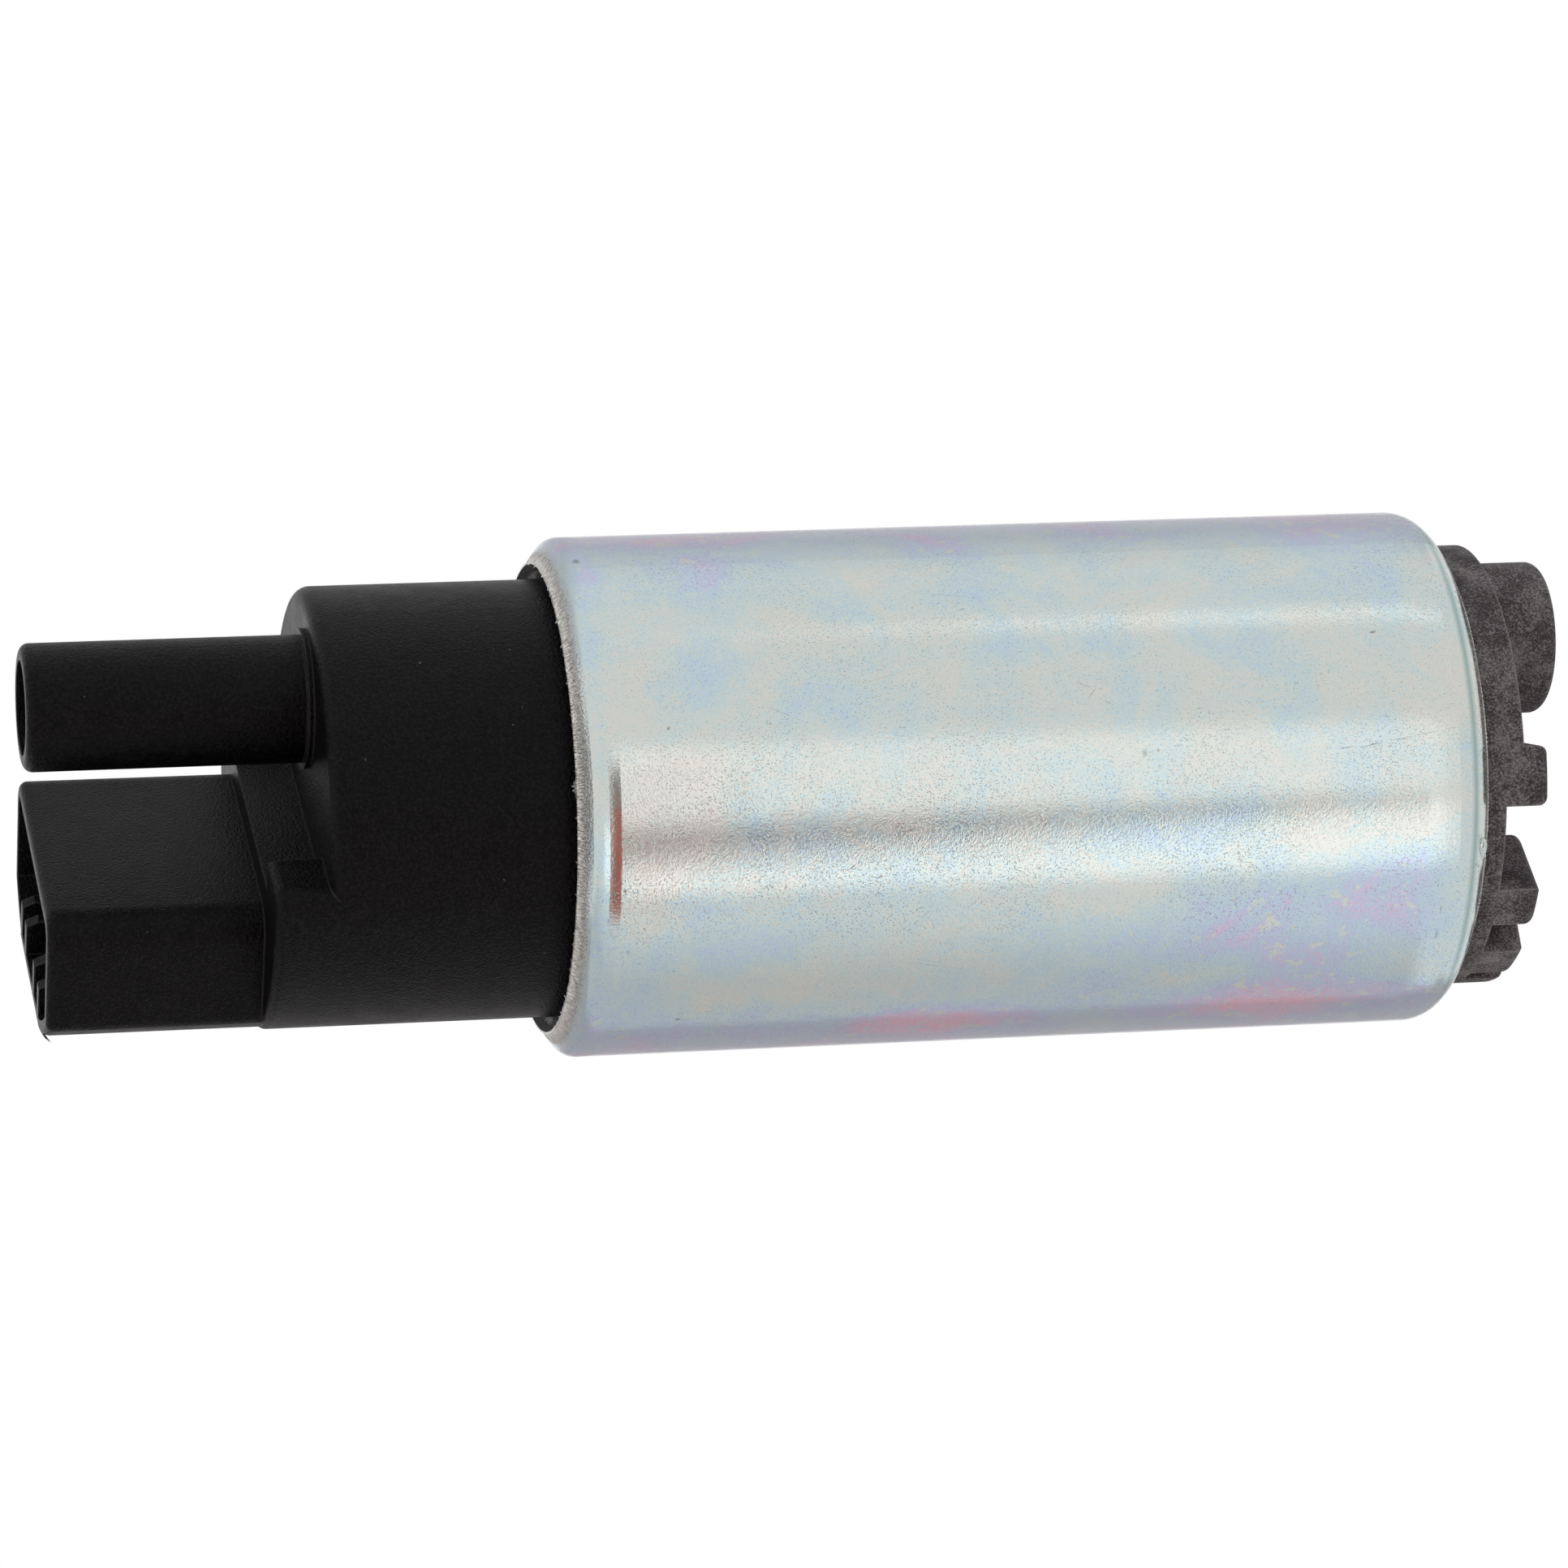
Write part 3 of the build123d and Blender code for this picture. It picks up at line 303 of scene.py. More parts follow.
# %% [markdown]
# ## Places on the tube
# The tube's stains and scratches lie on a cylinder, so they are placed on its unrolled wall: the
# arc along the wall across, and the height up. A mark is an ellipse there, given by its centre,
# half sizes and turn. A Mapping node carries the ellipse to a unit circle, and a spherical gradient
# falls from 1 in its middle to 0 at its edge. The same few nodes draw a stain as wide as a thumb
# and a scratch as thin as a hair.

# %% The unrolled wall
CASE_R = 19.0 * MM


def unrolled(tree, place):
    """The arc along the wall, the height and 0, in metres. The arc is angle times radius."""
    split = tree.nodes.new("ShaderNodeSeparateXYZ")
    tree.links.new(place, split.inputs[0])
    angle = add(tree, MATH, {0: split.outputs["Y"], 1: split.outputs["X"]}, operation="ARCTAN2")
    arc = add(tree, MATH, {0: angle, 1: CASE_R}, operation="MULTIPLY")
    return add(tree, "ShaderNodeCombineXYZ", {0: arc, 1: split.outputs["Z"]}), split.outputs["Z"]


def ellipses(tree, wall, marks):
    """Sum of soft ellipses on the unrolled wall.

    A mark is the angle in degrees, the height, half the width along the arc and half the height in
    mm, a turn in degrees and its strength, which may be negative.
    """
    total = 0.0
    for angle, height, half_arc, half_height, turn, strength in marks:
        unit = add(tree, PLACE, {"Vector": wall, "Location": (math.radians(angle) * CASE_R, height * MM, 0),
                                 "Rotation": (0, 0, math.radians(turn)),
                                 "Scale": (half_arc * MM, half_height * MM, 1)}, vector_type="TEXTURE")
        spot = add(tree, "ShaderNodeTexGradient", {"Vector": unit}, out="Fac", gradient_type="SPHERICAL")
        total = add(tree, MATH, {0: spot, 1: strength, 2: total}, operation="MULTIPLY_ADD")
    return total


print("length of the wall's arc in mm:", round(2 * math.pi * CASE_R / MM, 1))

# %% [markdown]
# ## Zinc plate with clear passivation
# The tube is mild steel, drawn, zinc plated and dipped in a clear passivate. That film is a few
# hundred nanometres thick and shows interference colours: straw, silver, mint, blue, lilac and
# pink, in that order as it thickens. Thin film in the shader would shift with the view, which a
# baked model loses, so the colours are a ramp read by a film thickness that is drawn on the wall:
# broad patches, speckled islands where drops dried, the stains that the photograph shows, and a
# thicker film towards the two sides of the outline as seen, which is a painted sheen standing in
# for the colour shift of a glancing view.

# %% Colour of the film
PATCH_MM = 8.0
ISLAND_MM = 1.1
SPECKLE_MM = 0.22  # the plate's crystals are finer, and are drawn as fine as the render shows
OUTLINE_SIDE = (0.865, 0.501, 0.0)  # level direction across the outline as seen: the film thickened towards it and away from it is a painted sheen
# each part's share in the thickness, and what is added to bring their sum into the ramp
OUTLINE_SHEEN_SHARE = 0.20
PATCH_SHARE = 0.66
SPECKLE_SHARE = 0.40
FILM_SHIFT = -0.03
# thickness of the film from 0 to 1, and its colour there
FILM = ((0.10, "#d6d0be"), (0.34, "#d0cdc6"), (0.46, "#cbcdc8"), (0.54, "#c0cdcc"), (0.62, "#b6c9d4"),
        (0.70, "#b9c0d8"), (0.78, "#cebbd0"), (0.88, "#e0b6c2"), (1.0, "#e3aeb4"))
# angle, height, half width, half height, turn, change of the film's thickness
STAINS = (
    (-10, 22, 5.5, 6.5, 20, 0.13), (-19, 13, 3.0, 4.5, -30, 0.09), (-2, 31, 5.0, 1.4, 0, 0.14),
    (14, 25, 3.0, 7.0, 0, 0.14), (8, -24, 4.5, 9.0, 0, 0.14), (-30, 0, 1.6, 40, 0, 0.05),
    (-33, 24, 2.6, 5.0, 70, 0.09), (-36, 27.5, 1.6, 1.4, 0, 0.10), (-74, -8, 4.0, 9.0, 15, 0.08),
    (-96, 20, 5.0, 12, 10, 0.15), (-90, -22, 6.0, 12, 0, 0.20), (-100, -4, 4.5, 14, 5, 0.17),
    (-108, -20, 4.4, 11, -10, 0.20), (-124, 6, 3.2, 9.0, 0, 0.30), (-122, -20, 4.0, 14, 0, 0.30),
    (-112, 20, 4.0, 10, 0, -0.04), (-55, 22, 4.0, 12, 0, -0.04), (150, 5, 9.0, 14, 30, 0.18),
    (100, -12, 7.0, 10, -20, 0.15), (60, 14, 6.0, 12, 10, 0.12), (-160, -14, 5.0, 9.0, 0, 0.18),
    (-60, 31.9, 300, 0.8, 0, 0.05),
)


def film_colour(tree, place, wall):
    """The film's colour, and the speckle, which the relief shares.

    The thickness is broad patches plus speckle, plus the stains, plus the sixth power of the share
    of the radius along the side direction, either way, which is a painted sheen at the outline.
    Where the film is thick, islands are thinner.
    """
    patches = add(tree, NOISE, {"Vector": place, "Scale": per_mm(PATCH_MM), "Detail": 7.0, "Roughness": 0.68,
                                "Distortion": 0.5})
    # islands are where this noise passes 0.6, with a soft edge just below it
    islands = add(tree, NOISE, {"Vector": place, "Scale": per_mm(ISLAND_MM), "Detail": 5.0,
                                "Roughness": 0.65})
    islands = add(tree, SPAN, {0: islands, 1: 0.58, 2: 0.60, 3: 0.0, 4: -0.3})
    speckle = add(tree, NOISE, {"Vector": place, "Scale": per_mm(SPECKLE_MM), "Detail": 2.0,
                                "Roughness": 0.8})
    # a high power keeps the painted sheen near the outline, at both sides
    side = add(tree, "ShaderNodeVectorMath", {0: place, 1: OUTLINE_SIDE}, out="Value", operation="DOT_PRODUCT")
    side = add(tree, MATH, {0: side, 1: CASE_R}, operation="DIVIDE")
    edges = add(tree, MATH, {0: side, 1: 6.0}, operation="POWER")
    edges = add(tree, MATH, {0: edges, 1: OUTLINE_SHEEN_SHARE}, operation="MULTIPLY")
    film = add(tree, MATH, {0: patches, 1: PATCH_SHARE, 2: FILM_SHIFT}, operation="MULTIPLY_ADD")
    film = add(tree, MATH, {0: speckle, 1: SPECKLE_SHARE, 2: film}, operation="MULTIPLY_ADD")
    for part in (edges, ellipses(tree, wall, STAINS)):
        film = add(tree, MATH, {0: film, 1: part}, operation="ADD")
    # the islands show only where the film is thick
    thick = add(tree, SPAN, {0: film, 1: 0.60, 2: 0.72})
    film = add(tree, MATH, {0: islands, 1: thick, 2: film}, operation="MULTIPLY_ADD")
    return add(tree, RAMP, {"Fac": film}, stops=FILM), speckle


print("stains:", len(STAINS))

# %% [markdown]
# ## Pits and handling marks
# The plate has pits, short lines from drawing the tube, and the scratches and dents of handling. A
# picture of scratches could be laid on, but here they come from noise: cut off above a threshold it
# leaves separate pits, and stretched three ways it leaves short lines. The marks that stand out in
# the photograph are ellipses with places of their own.

# %% Pits and handling marks
PIT_MM = 0.11  # real pits are finer, and are drawn as fine as the render shows
HANDLED_MM = 9.0  # size of the areas that were handled more and less
LINE_TURNS = (0.9, -1.1, 0.2)  # in radians, on the unrolled wall
LINE_STRETCH = 0.28
# angle, height, half width, half height, turn, how dark
MARKS = (
    (3.5, 31.5, 0.45, 0.33, 0, 1.6), (-118.5, 25.5, 0.18, 0.18, 0, 3.0), (-45.5, 27, 0.16, 0.13, 0, 2.0),
    (-28.5, -25.5, 0.14, 0.34, 15, 1.8), (-54.5, -7.5, 0.40, 0.30, 0, 0.7), (-54, -8.5, 0.2, 0.14, 30, 0.8),
    (-39, -3.5, 0.05, 0.7, -20, 1.0), (-41, -4, 0.05, 0.7, 50, 1.0), (-43, -5, 0.05, 0.6, -30, 0.8),
    (-55, -22.5, 0.05, 0.8, 8, 0.9), (-54.5, -24.5, 0.06, 0.9, 12, 1.0), (-53.5, -26.5, 0.05, 0.8, 4, 0.9),
    (-52.5, -28.5, 0.04, 0.9, 10, 0.6), (-51.5, -30.5, 0.04, 0.7, 8, 0.5), (-42.5, 19, 0.04, 1.8, -25, 0.7),
    (-35.5, 11, 0.035, 3.4, 16, 0.5), (-21, 14, 0.7, 0.05, 10, 0.6), (-14, 5.5, 0.035, 2.6, -8, 0.6),
    (-15, 4, 0.03, 1.4, -10, 0.5), (-103, 7.5, 0.04, 2.9, -12, 0.8), (-101.5, 8, 0.035, 1.9, -12, 0.6),
    (-77, 14, 0.05, 0.3, 40, 1.2), (-79.5, 12, 0.05, 0.25, 20, 1.2), (-83.5, 12, 0.025, 1.2, 0, 0.6),
    (-80.5, 30.5, 0.28, 0.2, 0, 0.8), (-95.5, 30, 0.2, 0.14, 0, 0.9), (-101.5, 26.5, 0.16, 0.13, 0, 0.8),
    (-93, -30, 0.5, 0.1, 0, 0.7), (-96, -30.5, 0.4, 0.07, 10, 0.5), (-100, -30, 0.6, 0.16, 0, 0.7),
    (-18.5, 4.5, 0.1, 0.3, 20, 1.0), (-7.5, -26, 0.05, 1.6, -12, 0.4), (21, 19, 0.14, 0.12, 0, 1.6),
    (40, 8, 0.05, 2.5, 20, 1.0), (120, -6, 0.05, 3.5, -15, 1.0), (175, 12, 0.05, 3.0, 35, 1.0),
)


def handling(tree, place, wall):
    """How dark pits, short lines and single marks make the plate, from 0 to 1.

    Pits and lines are noise above a threshold, each weaker where the plate was handled less.
    """
    pits = add(tree, NOISE, {"Vector": place, "Scale": per_mm(PIT_MM), "Detail": 0.0})
    pits = add(tree, SPAN, {0: pits, 1: 0.66, 2: 0.76, 3: 0.0, 4: 0.65})
    handled = add(tree, NOISE, {"Vector": place, "Scale": per_mm(HANDLED_MM), "Detail": 2.0})
    handled = add(tree, SPAN, {0: handled, 1: 0.38, 2: 0.62, 3: 0.4, 4: 1.0})
    dark = add(tree, MATH, {0: pits, 1: handled}, operation="MULTIPLY")
    for turn in LINE_TURNS:
        drawn = add(tree, PLACE, {"Vector": wall, "Rotation": (0, 0, turn),
                                  "Scale": (1.0, LINE_STRETCH, 1.0)})
        lines = add(tree, NOISE, {"Vector": drawn, "Scale": per_mm(PIT_MM), "Detail": 1.0, "Roughness": 0.5})
        lines = add(tree, SPAN, {0: lines, 1: 0.67, 2: 0.79, 3: 0.0, 4: 0.6})
        lines = add(tree, MATH, {0: lines, 1: handled}, operation="MULTIPLY")
        dark = add(tree, MATH, {0: dark, 1: lines}, operation="MAXIMUM")
    return add(tree, MATH, {0: dark, 1: ellipses(tree, wall, MARKS)}, operation="ADD", use_clamp=True)


print("marks:", len(MARKS))

# %% [markdown]
# ## Bare steel at the rolled edges
# Rolling stretches the tube's ends until the plate tears, and bare grey steel shows, with fine lines
# across the edge. The border could be an edge in the mesh, but a real one wanders, so it is drawn by
# height, and a noise shifts that height. Above the inlet edge the plate doesn't tear, and a teal band
# there is a painted reflection of the bend. Inside the tube and inside the lip's turn, the steel is
# darkened as painted shade.

# %% Rolled edges
LIP_START_Z = 32.92 * MM  # the outlet lip is bare above this
LIP_BREAK_Z = 33.15 * MM  # and turns inwards here
CRIMP_START_Z = -33.2 * MM  # the inlet crimp is bare below this
# level and half width of the teal band painted above the inlet crimp, a painted reflection of the bend
BEND_REFLECTION_Z = -32.2 * MM
BEND_REFLECTION_HALF = 0.4 * MM
RAGGED = 1.6 * MM  # how far noise may shift a border, though most of it stays near the middle
TORN_MM = 0.13
STRIAE_MM = 0.10  # rolling lines are finer, and are drawn as fine as the render shows
STRIAE_LEAN = 0.25  # in radians, on the unrolled wall
STRIAE_STRETCH = 0.3
BORDER = 0.05 * MM  # over which plate turns to bare steel
# over which the painted shade inside the lip's turn fades in
TURN_SHADE_FADE = 0.2 * MM
RIM_HALF = 0.04 * MM  # half widths of the dark line where the plate ends, and of the one at the turn
SEAM_HALF = 0.025 * MM
# value of the rolling lines' noise, and the bare steel's colour there
STEEL = ((0.36, "#8f8b84"), (0.5, "#dedbd4"), (0.64, "#ffffff"))


def rolled_edges(tree, place, wall, height, plated):
    """The colour with both edges bared, where the steel is bare, and the lines across the edge.

    A border is where the height, shifted by up to half of RAGGED either way, passes its level.
    """
    # a painted reflection of the inlet bend, in teal: strongest at its level, fading out both ways
    bend_reflection = add(tree, MATH, {0: height, 1: BEND_REFLECTION_Z}, operation="SUBTRACT")
    bend_reflection = add(tree, MATH, {0: bend_reflection}, operation="ABSOLUTE")
    bend_reflection = add(tree, SPAN, {0: bend_reflection, 1: 0.0, 2: BEND_REFLECTION_HALF, 3: 0.7, 4: 0.0})
    plated = add(tree, MIX, {0: bend_reflection, 6: plated, 7: "#70908f"}, out=2, data_type="RGBA")

    across = add(tree, PLACE, {"Vector": wall, "Rotation": (0, 0, STRIAE_LEAN),
                               "Scale": (1.0, STRIAE_STRETCH, 1.0)})
    striae = add(tree, NOISE, {"Vector": across, "Scale": per_mm(STRIAE_MM), "Detail": 2.0, "Roughness": 0.7})
    torn = add(tree, NOISE, {"Vector": place, "Scale": per_mm(TORN_MM), "Detail": 2.0, "Roughness": 0.7})
    shift = add(tree, MATH, {0: torn, 1: RAGGED, 2: -RAGGED / 2}, operation="MULTIPLY_ADD")
    ragged = add(tree, MATH, {0: height, 1: shift}, operation="ADD")
    lip = add(tree, SPAN, {0: ragged, 1: LIP_START_Z, 2: LIP_START_Z + BORDER})
    crimp = add(tree, SPAN, {0: ragged, 1: CRIMP_START_Z, 2: CRIMP_START_Z - BORDER})
    bare = add(tree, MATH, {0: lip, 1: crimp}, operation="MAXIMUM")
    steel = add(tree, RAMP, {"Fac": striae}, stops=STEEL)
    # painted shade inside the lip's turn, and dark lines follow both borders
    painted_turn_shade = add(tree, SPAN, {0: ragged, 1: LIP_BREAK_Z, 2: LIP_BREAK_Z + TURN_SHADE_FADE, 3: 0.3, 4: 0.0})
    steel = add(tree, MIX, {0: painted_turn_shade, 6: steel, 7: "#5a554f"}, out=2, data_type="RGBA")
    rim = add(tree, MATH, {0: ragged, 1: LIP_START_Z, 2: RIM_HALF}, operation="COMPARE")
    seam = add(tree, MATH, {0: ragged, 1: LIP_BREAK_Z, 2: SEAM_HALF}, operation="COMPARE")
    rim = add(tree, MATH, {0: rim, 1: seam}, operation="MAXIMUM")
    color = add(tree, MIX, {0: bare, 6: plated, 7: steel}, out=2, data_type="RGBA")
    color = add(tree, MIX, {0: rim, 6: color, 7: "#8a847c"}, out=2, data_type="RGBA")
    return color, bare, striae


def shaded_inside(tree, place, color):
    """The colour, nearly black inside the tube, which is where the normal points to the axis."""
    normal = add(tree, "ShaderNodeNewGeometry", out="Normal")
    radius = add(tree, "ShaderNodeVectorMath", {0: place, 1: (1.0, 1.0, 0.0)}, operation="MULTIPLY")
    radius = add(tree, "ShaderNodeVectorMath", {0: radius}, operation="NORMALIZE")
    inside = add(tree, "ShaderNodeVectorMath", {0: radius, 1: normal}, out="Value", operation="DOT_PRODUCT")
    # below 0 the surface faces the axis: the painted shade starts at -0.1 and is full at -0.3
    inside = add(tree, SPAN, {0: inside, 1: -0.1, 2: -0.3, 3: 0.0, 4: 0.95})
    return add(tree, MIX, {0: inside, 6: color, 7: "#0d0c0c"}, out=2, data_type="RGBA")


print("bare lip from", LIP_START_Z / MM, "mm up, bare crimp from", CRIMP_START_Z / MM, "mm down")

# %% [markdown]
# ## The whole case
# The zinc is satin, and smoother in some places than in others, while bare steel is dull. Rolling
# also leaves the wall leaning in before each bend, by about 0.4 mm over its last few millimetres,
# and that spreads the bend's reflection. Finer steps in the mesh could show it, but a bump tilts the
# light just as well, and the outline stays the CAD model's.

# %% The whole case
SATIN_MM = 1.4
MARK_SHARE = 0.6  # how far a mark of strength 1 goes to its own dark colour
BARE_ROUGHNESS = 0.42
GRAIN_DEEP = 0.012 * MM
STRIAE_DEEP = 0.08 * MM  # deeper than real, for lines that are drawn wider than real
LEAD_START_Z = 30.6 * MM
LEAD_END_Z = 32.4 * MM
LEAD_DROP = 0.36 * MM
LEAD_LOW_START_Z = -28.4 * MM
LEAD_LOW_END_Z = -33.2 * MM
LEAD_LOW_DROP = 0.45 * MM


def plated_steel(name):
    """Zinc plate on drawn steel. Metal keeps the default IOR, and the film shows in its colour."""
    material, tree, shader, place = start(name, Metallic=1.0)
    wall, height = unrolled(tree, place)
    tint, speckle = film_colour(tree, place, wall)
    dark = handling(tree, place, wall)
    share = add(tree, MATH, {0: dark, 1: MARK_SHARE}, operation="MULTIPLY")
    plated = add(tree, MIX, {0: share, 6: tint, 7: "#5c5650"}, out=2, data_type="RGBA")
    color, bare, striae = rolled_edges(tree, place, wall, height, plated)
    color = shaded_inside(tree, place, color)

    satin = add(tree, NOISE, {"Vector": place, "Scale": per_mm(SATIN_MM), "Detail": 4.0})
    satin = add(tree, SPAN, {0: satin, 1: 0.3, 2: 0.7, 3: 0.10, 4: 0.17})
    dull = add(tree, MATH, {0: bare, 1: BARE_ROUGHNESS}, operation="MULTIPLY")
    rough = add(tree, MATH, {0: satin, 1: dull}, operation="MAXIMUM")
    # how far the wall still has to lean in: all of it before the lean starts, and 0 where it ends
    lead = add(tree, SPAN, {0: height, 1: LEAD_START_Z, 2: LEAD_END_Z, 3: LEAD_DROP, 4: 0.0},
               interpolation_type="SMOOTHSTEP")
    low_lead = add(tree, SPAN, {0: height, 1: LEAD_LOW_START_Z, 2: LEAD_LOW_END_Z, 3: LEAD_LOW_DROP, 4: 0.0},
                   interpolation_type="SMOOTHSTEP")
    lead = add(tree, MATH, {0: lead, 1: low_lead}, operation="ADD")
    relief = add(tree, BUMP, {"Height": lead, "Distance": 1.0})
    relief = add(tree, BUMP, {"Height": speckle, "Distance": GRAIN_DEEP, "Normal": relief})
    relief = add(tree, BUMP, {"Height": dark, "Distance": GRAIN_DEEP, "Normal": relief}, invert=True)
    striae = add(tree, MATH, {0: striae, 1: bare}, operation="MULTIPLY")
    relief = add(tree, BUMP, {"Height": striae, "Distance": STRIAE_DEEP, "Normal": relief})
    join(tree, shader, Base_Color=color, Roughness=rough, Normal=relief)
    return material


case_finish = plated_steel("zinc_plate_clear_passivated")
print("nodes in the case's finish:", len(case_finish.node_tree.nodes))

# %% [markdown]
# ## Moulded plastics
# The outlet cover is black glass-filled nylon from a spark-eroded tool, which leaves an even grain
# about 0.1 mm across, drawn here about twice as coarse, and deeper, so that it shows. The inlet cover
# is a grey phenolic full of mineral, with a mottled skin. A single colour with a bump would look flat
# under soft light, because such light reaches every side of a grain, so the grain's light and shade
# are painted into the colour: painted shade in its hollows and a painted highlight on its tops.
# Edges are painted paler as well, as a painted highlight where rounded edges catch the light.

# %% Moulded plastics
MOTTLE_MM = 2.6
DUST_MM = 0.5
EDGE_HIGHLIGHT_REACH = 0.28 * MM  # how far from an edge the painted highlight reaches


def moulded_plastic(name, low, high, edge, grain, depth, roughness, gloss, mottle=0.35):
    """Moulded plastic: low and high colour the grain's hollows and tops, as painted shade and highlight, edge
    the edges.

    grain is its width and depth its height in mm. gloss is the specular level at the default IOR.
    mottle is how far the colour drifts in broad patches. Edges get the edge colour as a painted highlight
    where a bevel would turn the normal: its dot product with the real normal falls below 1 there.
    """
    material, tree, shader, place = start(name, IOR=1.5, Specular_IOR_Level=gloss)
    fine = add(tree, NOISE, {"Vector": place, "Scale": per_mm(grain), "Detail": 2.0, "Roughness": 0.7})
    broad = add(tree, NOISE, {"Vector": place, "Scale": per_mm(MOTTLE_MM), "Detail": 6.0, "Roughness": 0.7})
    # painted highlight on the grain's tops and painted shade in its hollows, and the real mottle's broad
    # patches make tops more or fewer
    tops = add(tree, SPAN, {0: fine, 1: 0.42, 2: 0.68})
    drift = add(tree, MATH, {0: broad, 1: -0.5}, operation="ADD")
    tops = add(tree, MATH, {0: drift, 1: 4 * mottle, 2: tops}, operation="MULTIPLY_ADD", use_clamp=True)
    # a few pale specks of dust, where a coarser noise peaks
    dust = add(tree, NOISE, {"Vector": place, "Scale": per_mm(DUST_MM), "Detail": 1.0})
    dust = add(tree, SPAN, {0: dust, 1: 0.80, 2: 0.82, 3: 0.0, 4: 0.3})
    # painted highlight on edges, where rounded edges would catch the light
    turned = add(tree, "ShaderNodeBevel", {"Radius": EDGE_HIGHLIGHT_REACH}, out="Normal", samples=6)
    normal = add(tree, "ShaderNodeNewGeometry", out="Normal")
    edge_highlight = add(tree, "ShaderNodeVectorMath", {0: turned, 1: normal}, out="Value", operation="DOT_PRODUCT")
    edge_highlight = add(tree, SPAN, {0: edge_highlight, 1: 0.985, 2: 0.86, 3: 0.0, 4: 0.8})
    color = add(tree, MIX, {0: tops, 6: low, 7: high}, out=2, data_type="RGBA")
    color = add(tree, MIX, {0: edge_highlight, 6: color, 7: edge}, out=2, data_type="RGBA")
    color = add(tree, MIX, {0: dust, 6: color, 7: "#8f8d8a"}, out=2, data_type="RGBA")
    rough = add(tree, SPAN, {0: broad, 1: 0.3, 2: 0.7, 3: roughness - 0.05, 4: roughness + 0.07})
    relief = add(tree, BUMP, {"Height": fine, "Distance": depth * MM})
    join(tree, shader, Base_Color=color, Roughness=rough, Normal=relief)
    return material


print("mottle and dust in mm:", MOTTLE_MM, DUST_MM)

# %% [markdown]
# ## Metals of the small pieces
# Nothing shows inside a crimped pump, but the moving pieces are looked at with the case taken off,
# so they have their real finishes too. Turned and drawn metals have fine marks and sintered ones are
# porous. One noise serves them all: it darkens and roughens the hollows that it also presses in.

# %% Plain metals
SHADE = 0.8  # the share of the colour that is left in the hollows


def plain_metal(name, code, roughness, mark_size, depth=0.004, along=1.0):
    """Bare metal with fine marks, in mm. along under 1 draws the marks out along the axis."""
    material, tree, shader, place = start(name, Metallic=1.0)
    drawn = add(tree, PLACE, {"Vector": place, "Scale": (1.0, 1.0, along)})
    marks = add(tree, NOISE, {"Vector": drawn, "Scale": per_mm(mark_size), "Detail": 3.0, "Roughness": 0.6})
    shade = [value * SHADE for value in linear(code)[:3]] + [1.0]
    color = add(tree, MIX, {0: marks, 6: shade, 7: code}, out=2, data_type="RGBA")
    rough = add(tree, SPAN, {0: marks, 1: 0.3, 2: 0.7, 3: roughness - 0.06, 4: roughness + 0.08})
    relief = add(tree, BUMP, {"Height": marks, "Distance": depth * MM})
    join(tree, shader, Base_Color=color, Roughness=rough, Normal=relief)
    return material


print("hollows keep this share of the colour:", SHADE)

# %% [markdown]
# ## List of finishes
# Each piece in the CAD record names the material that it is made in. Here each of those gets its
# finish, with a word on what the real material shows.

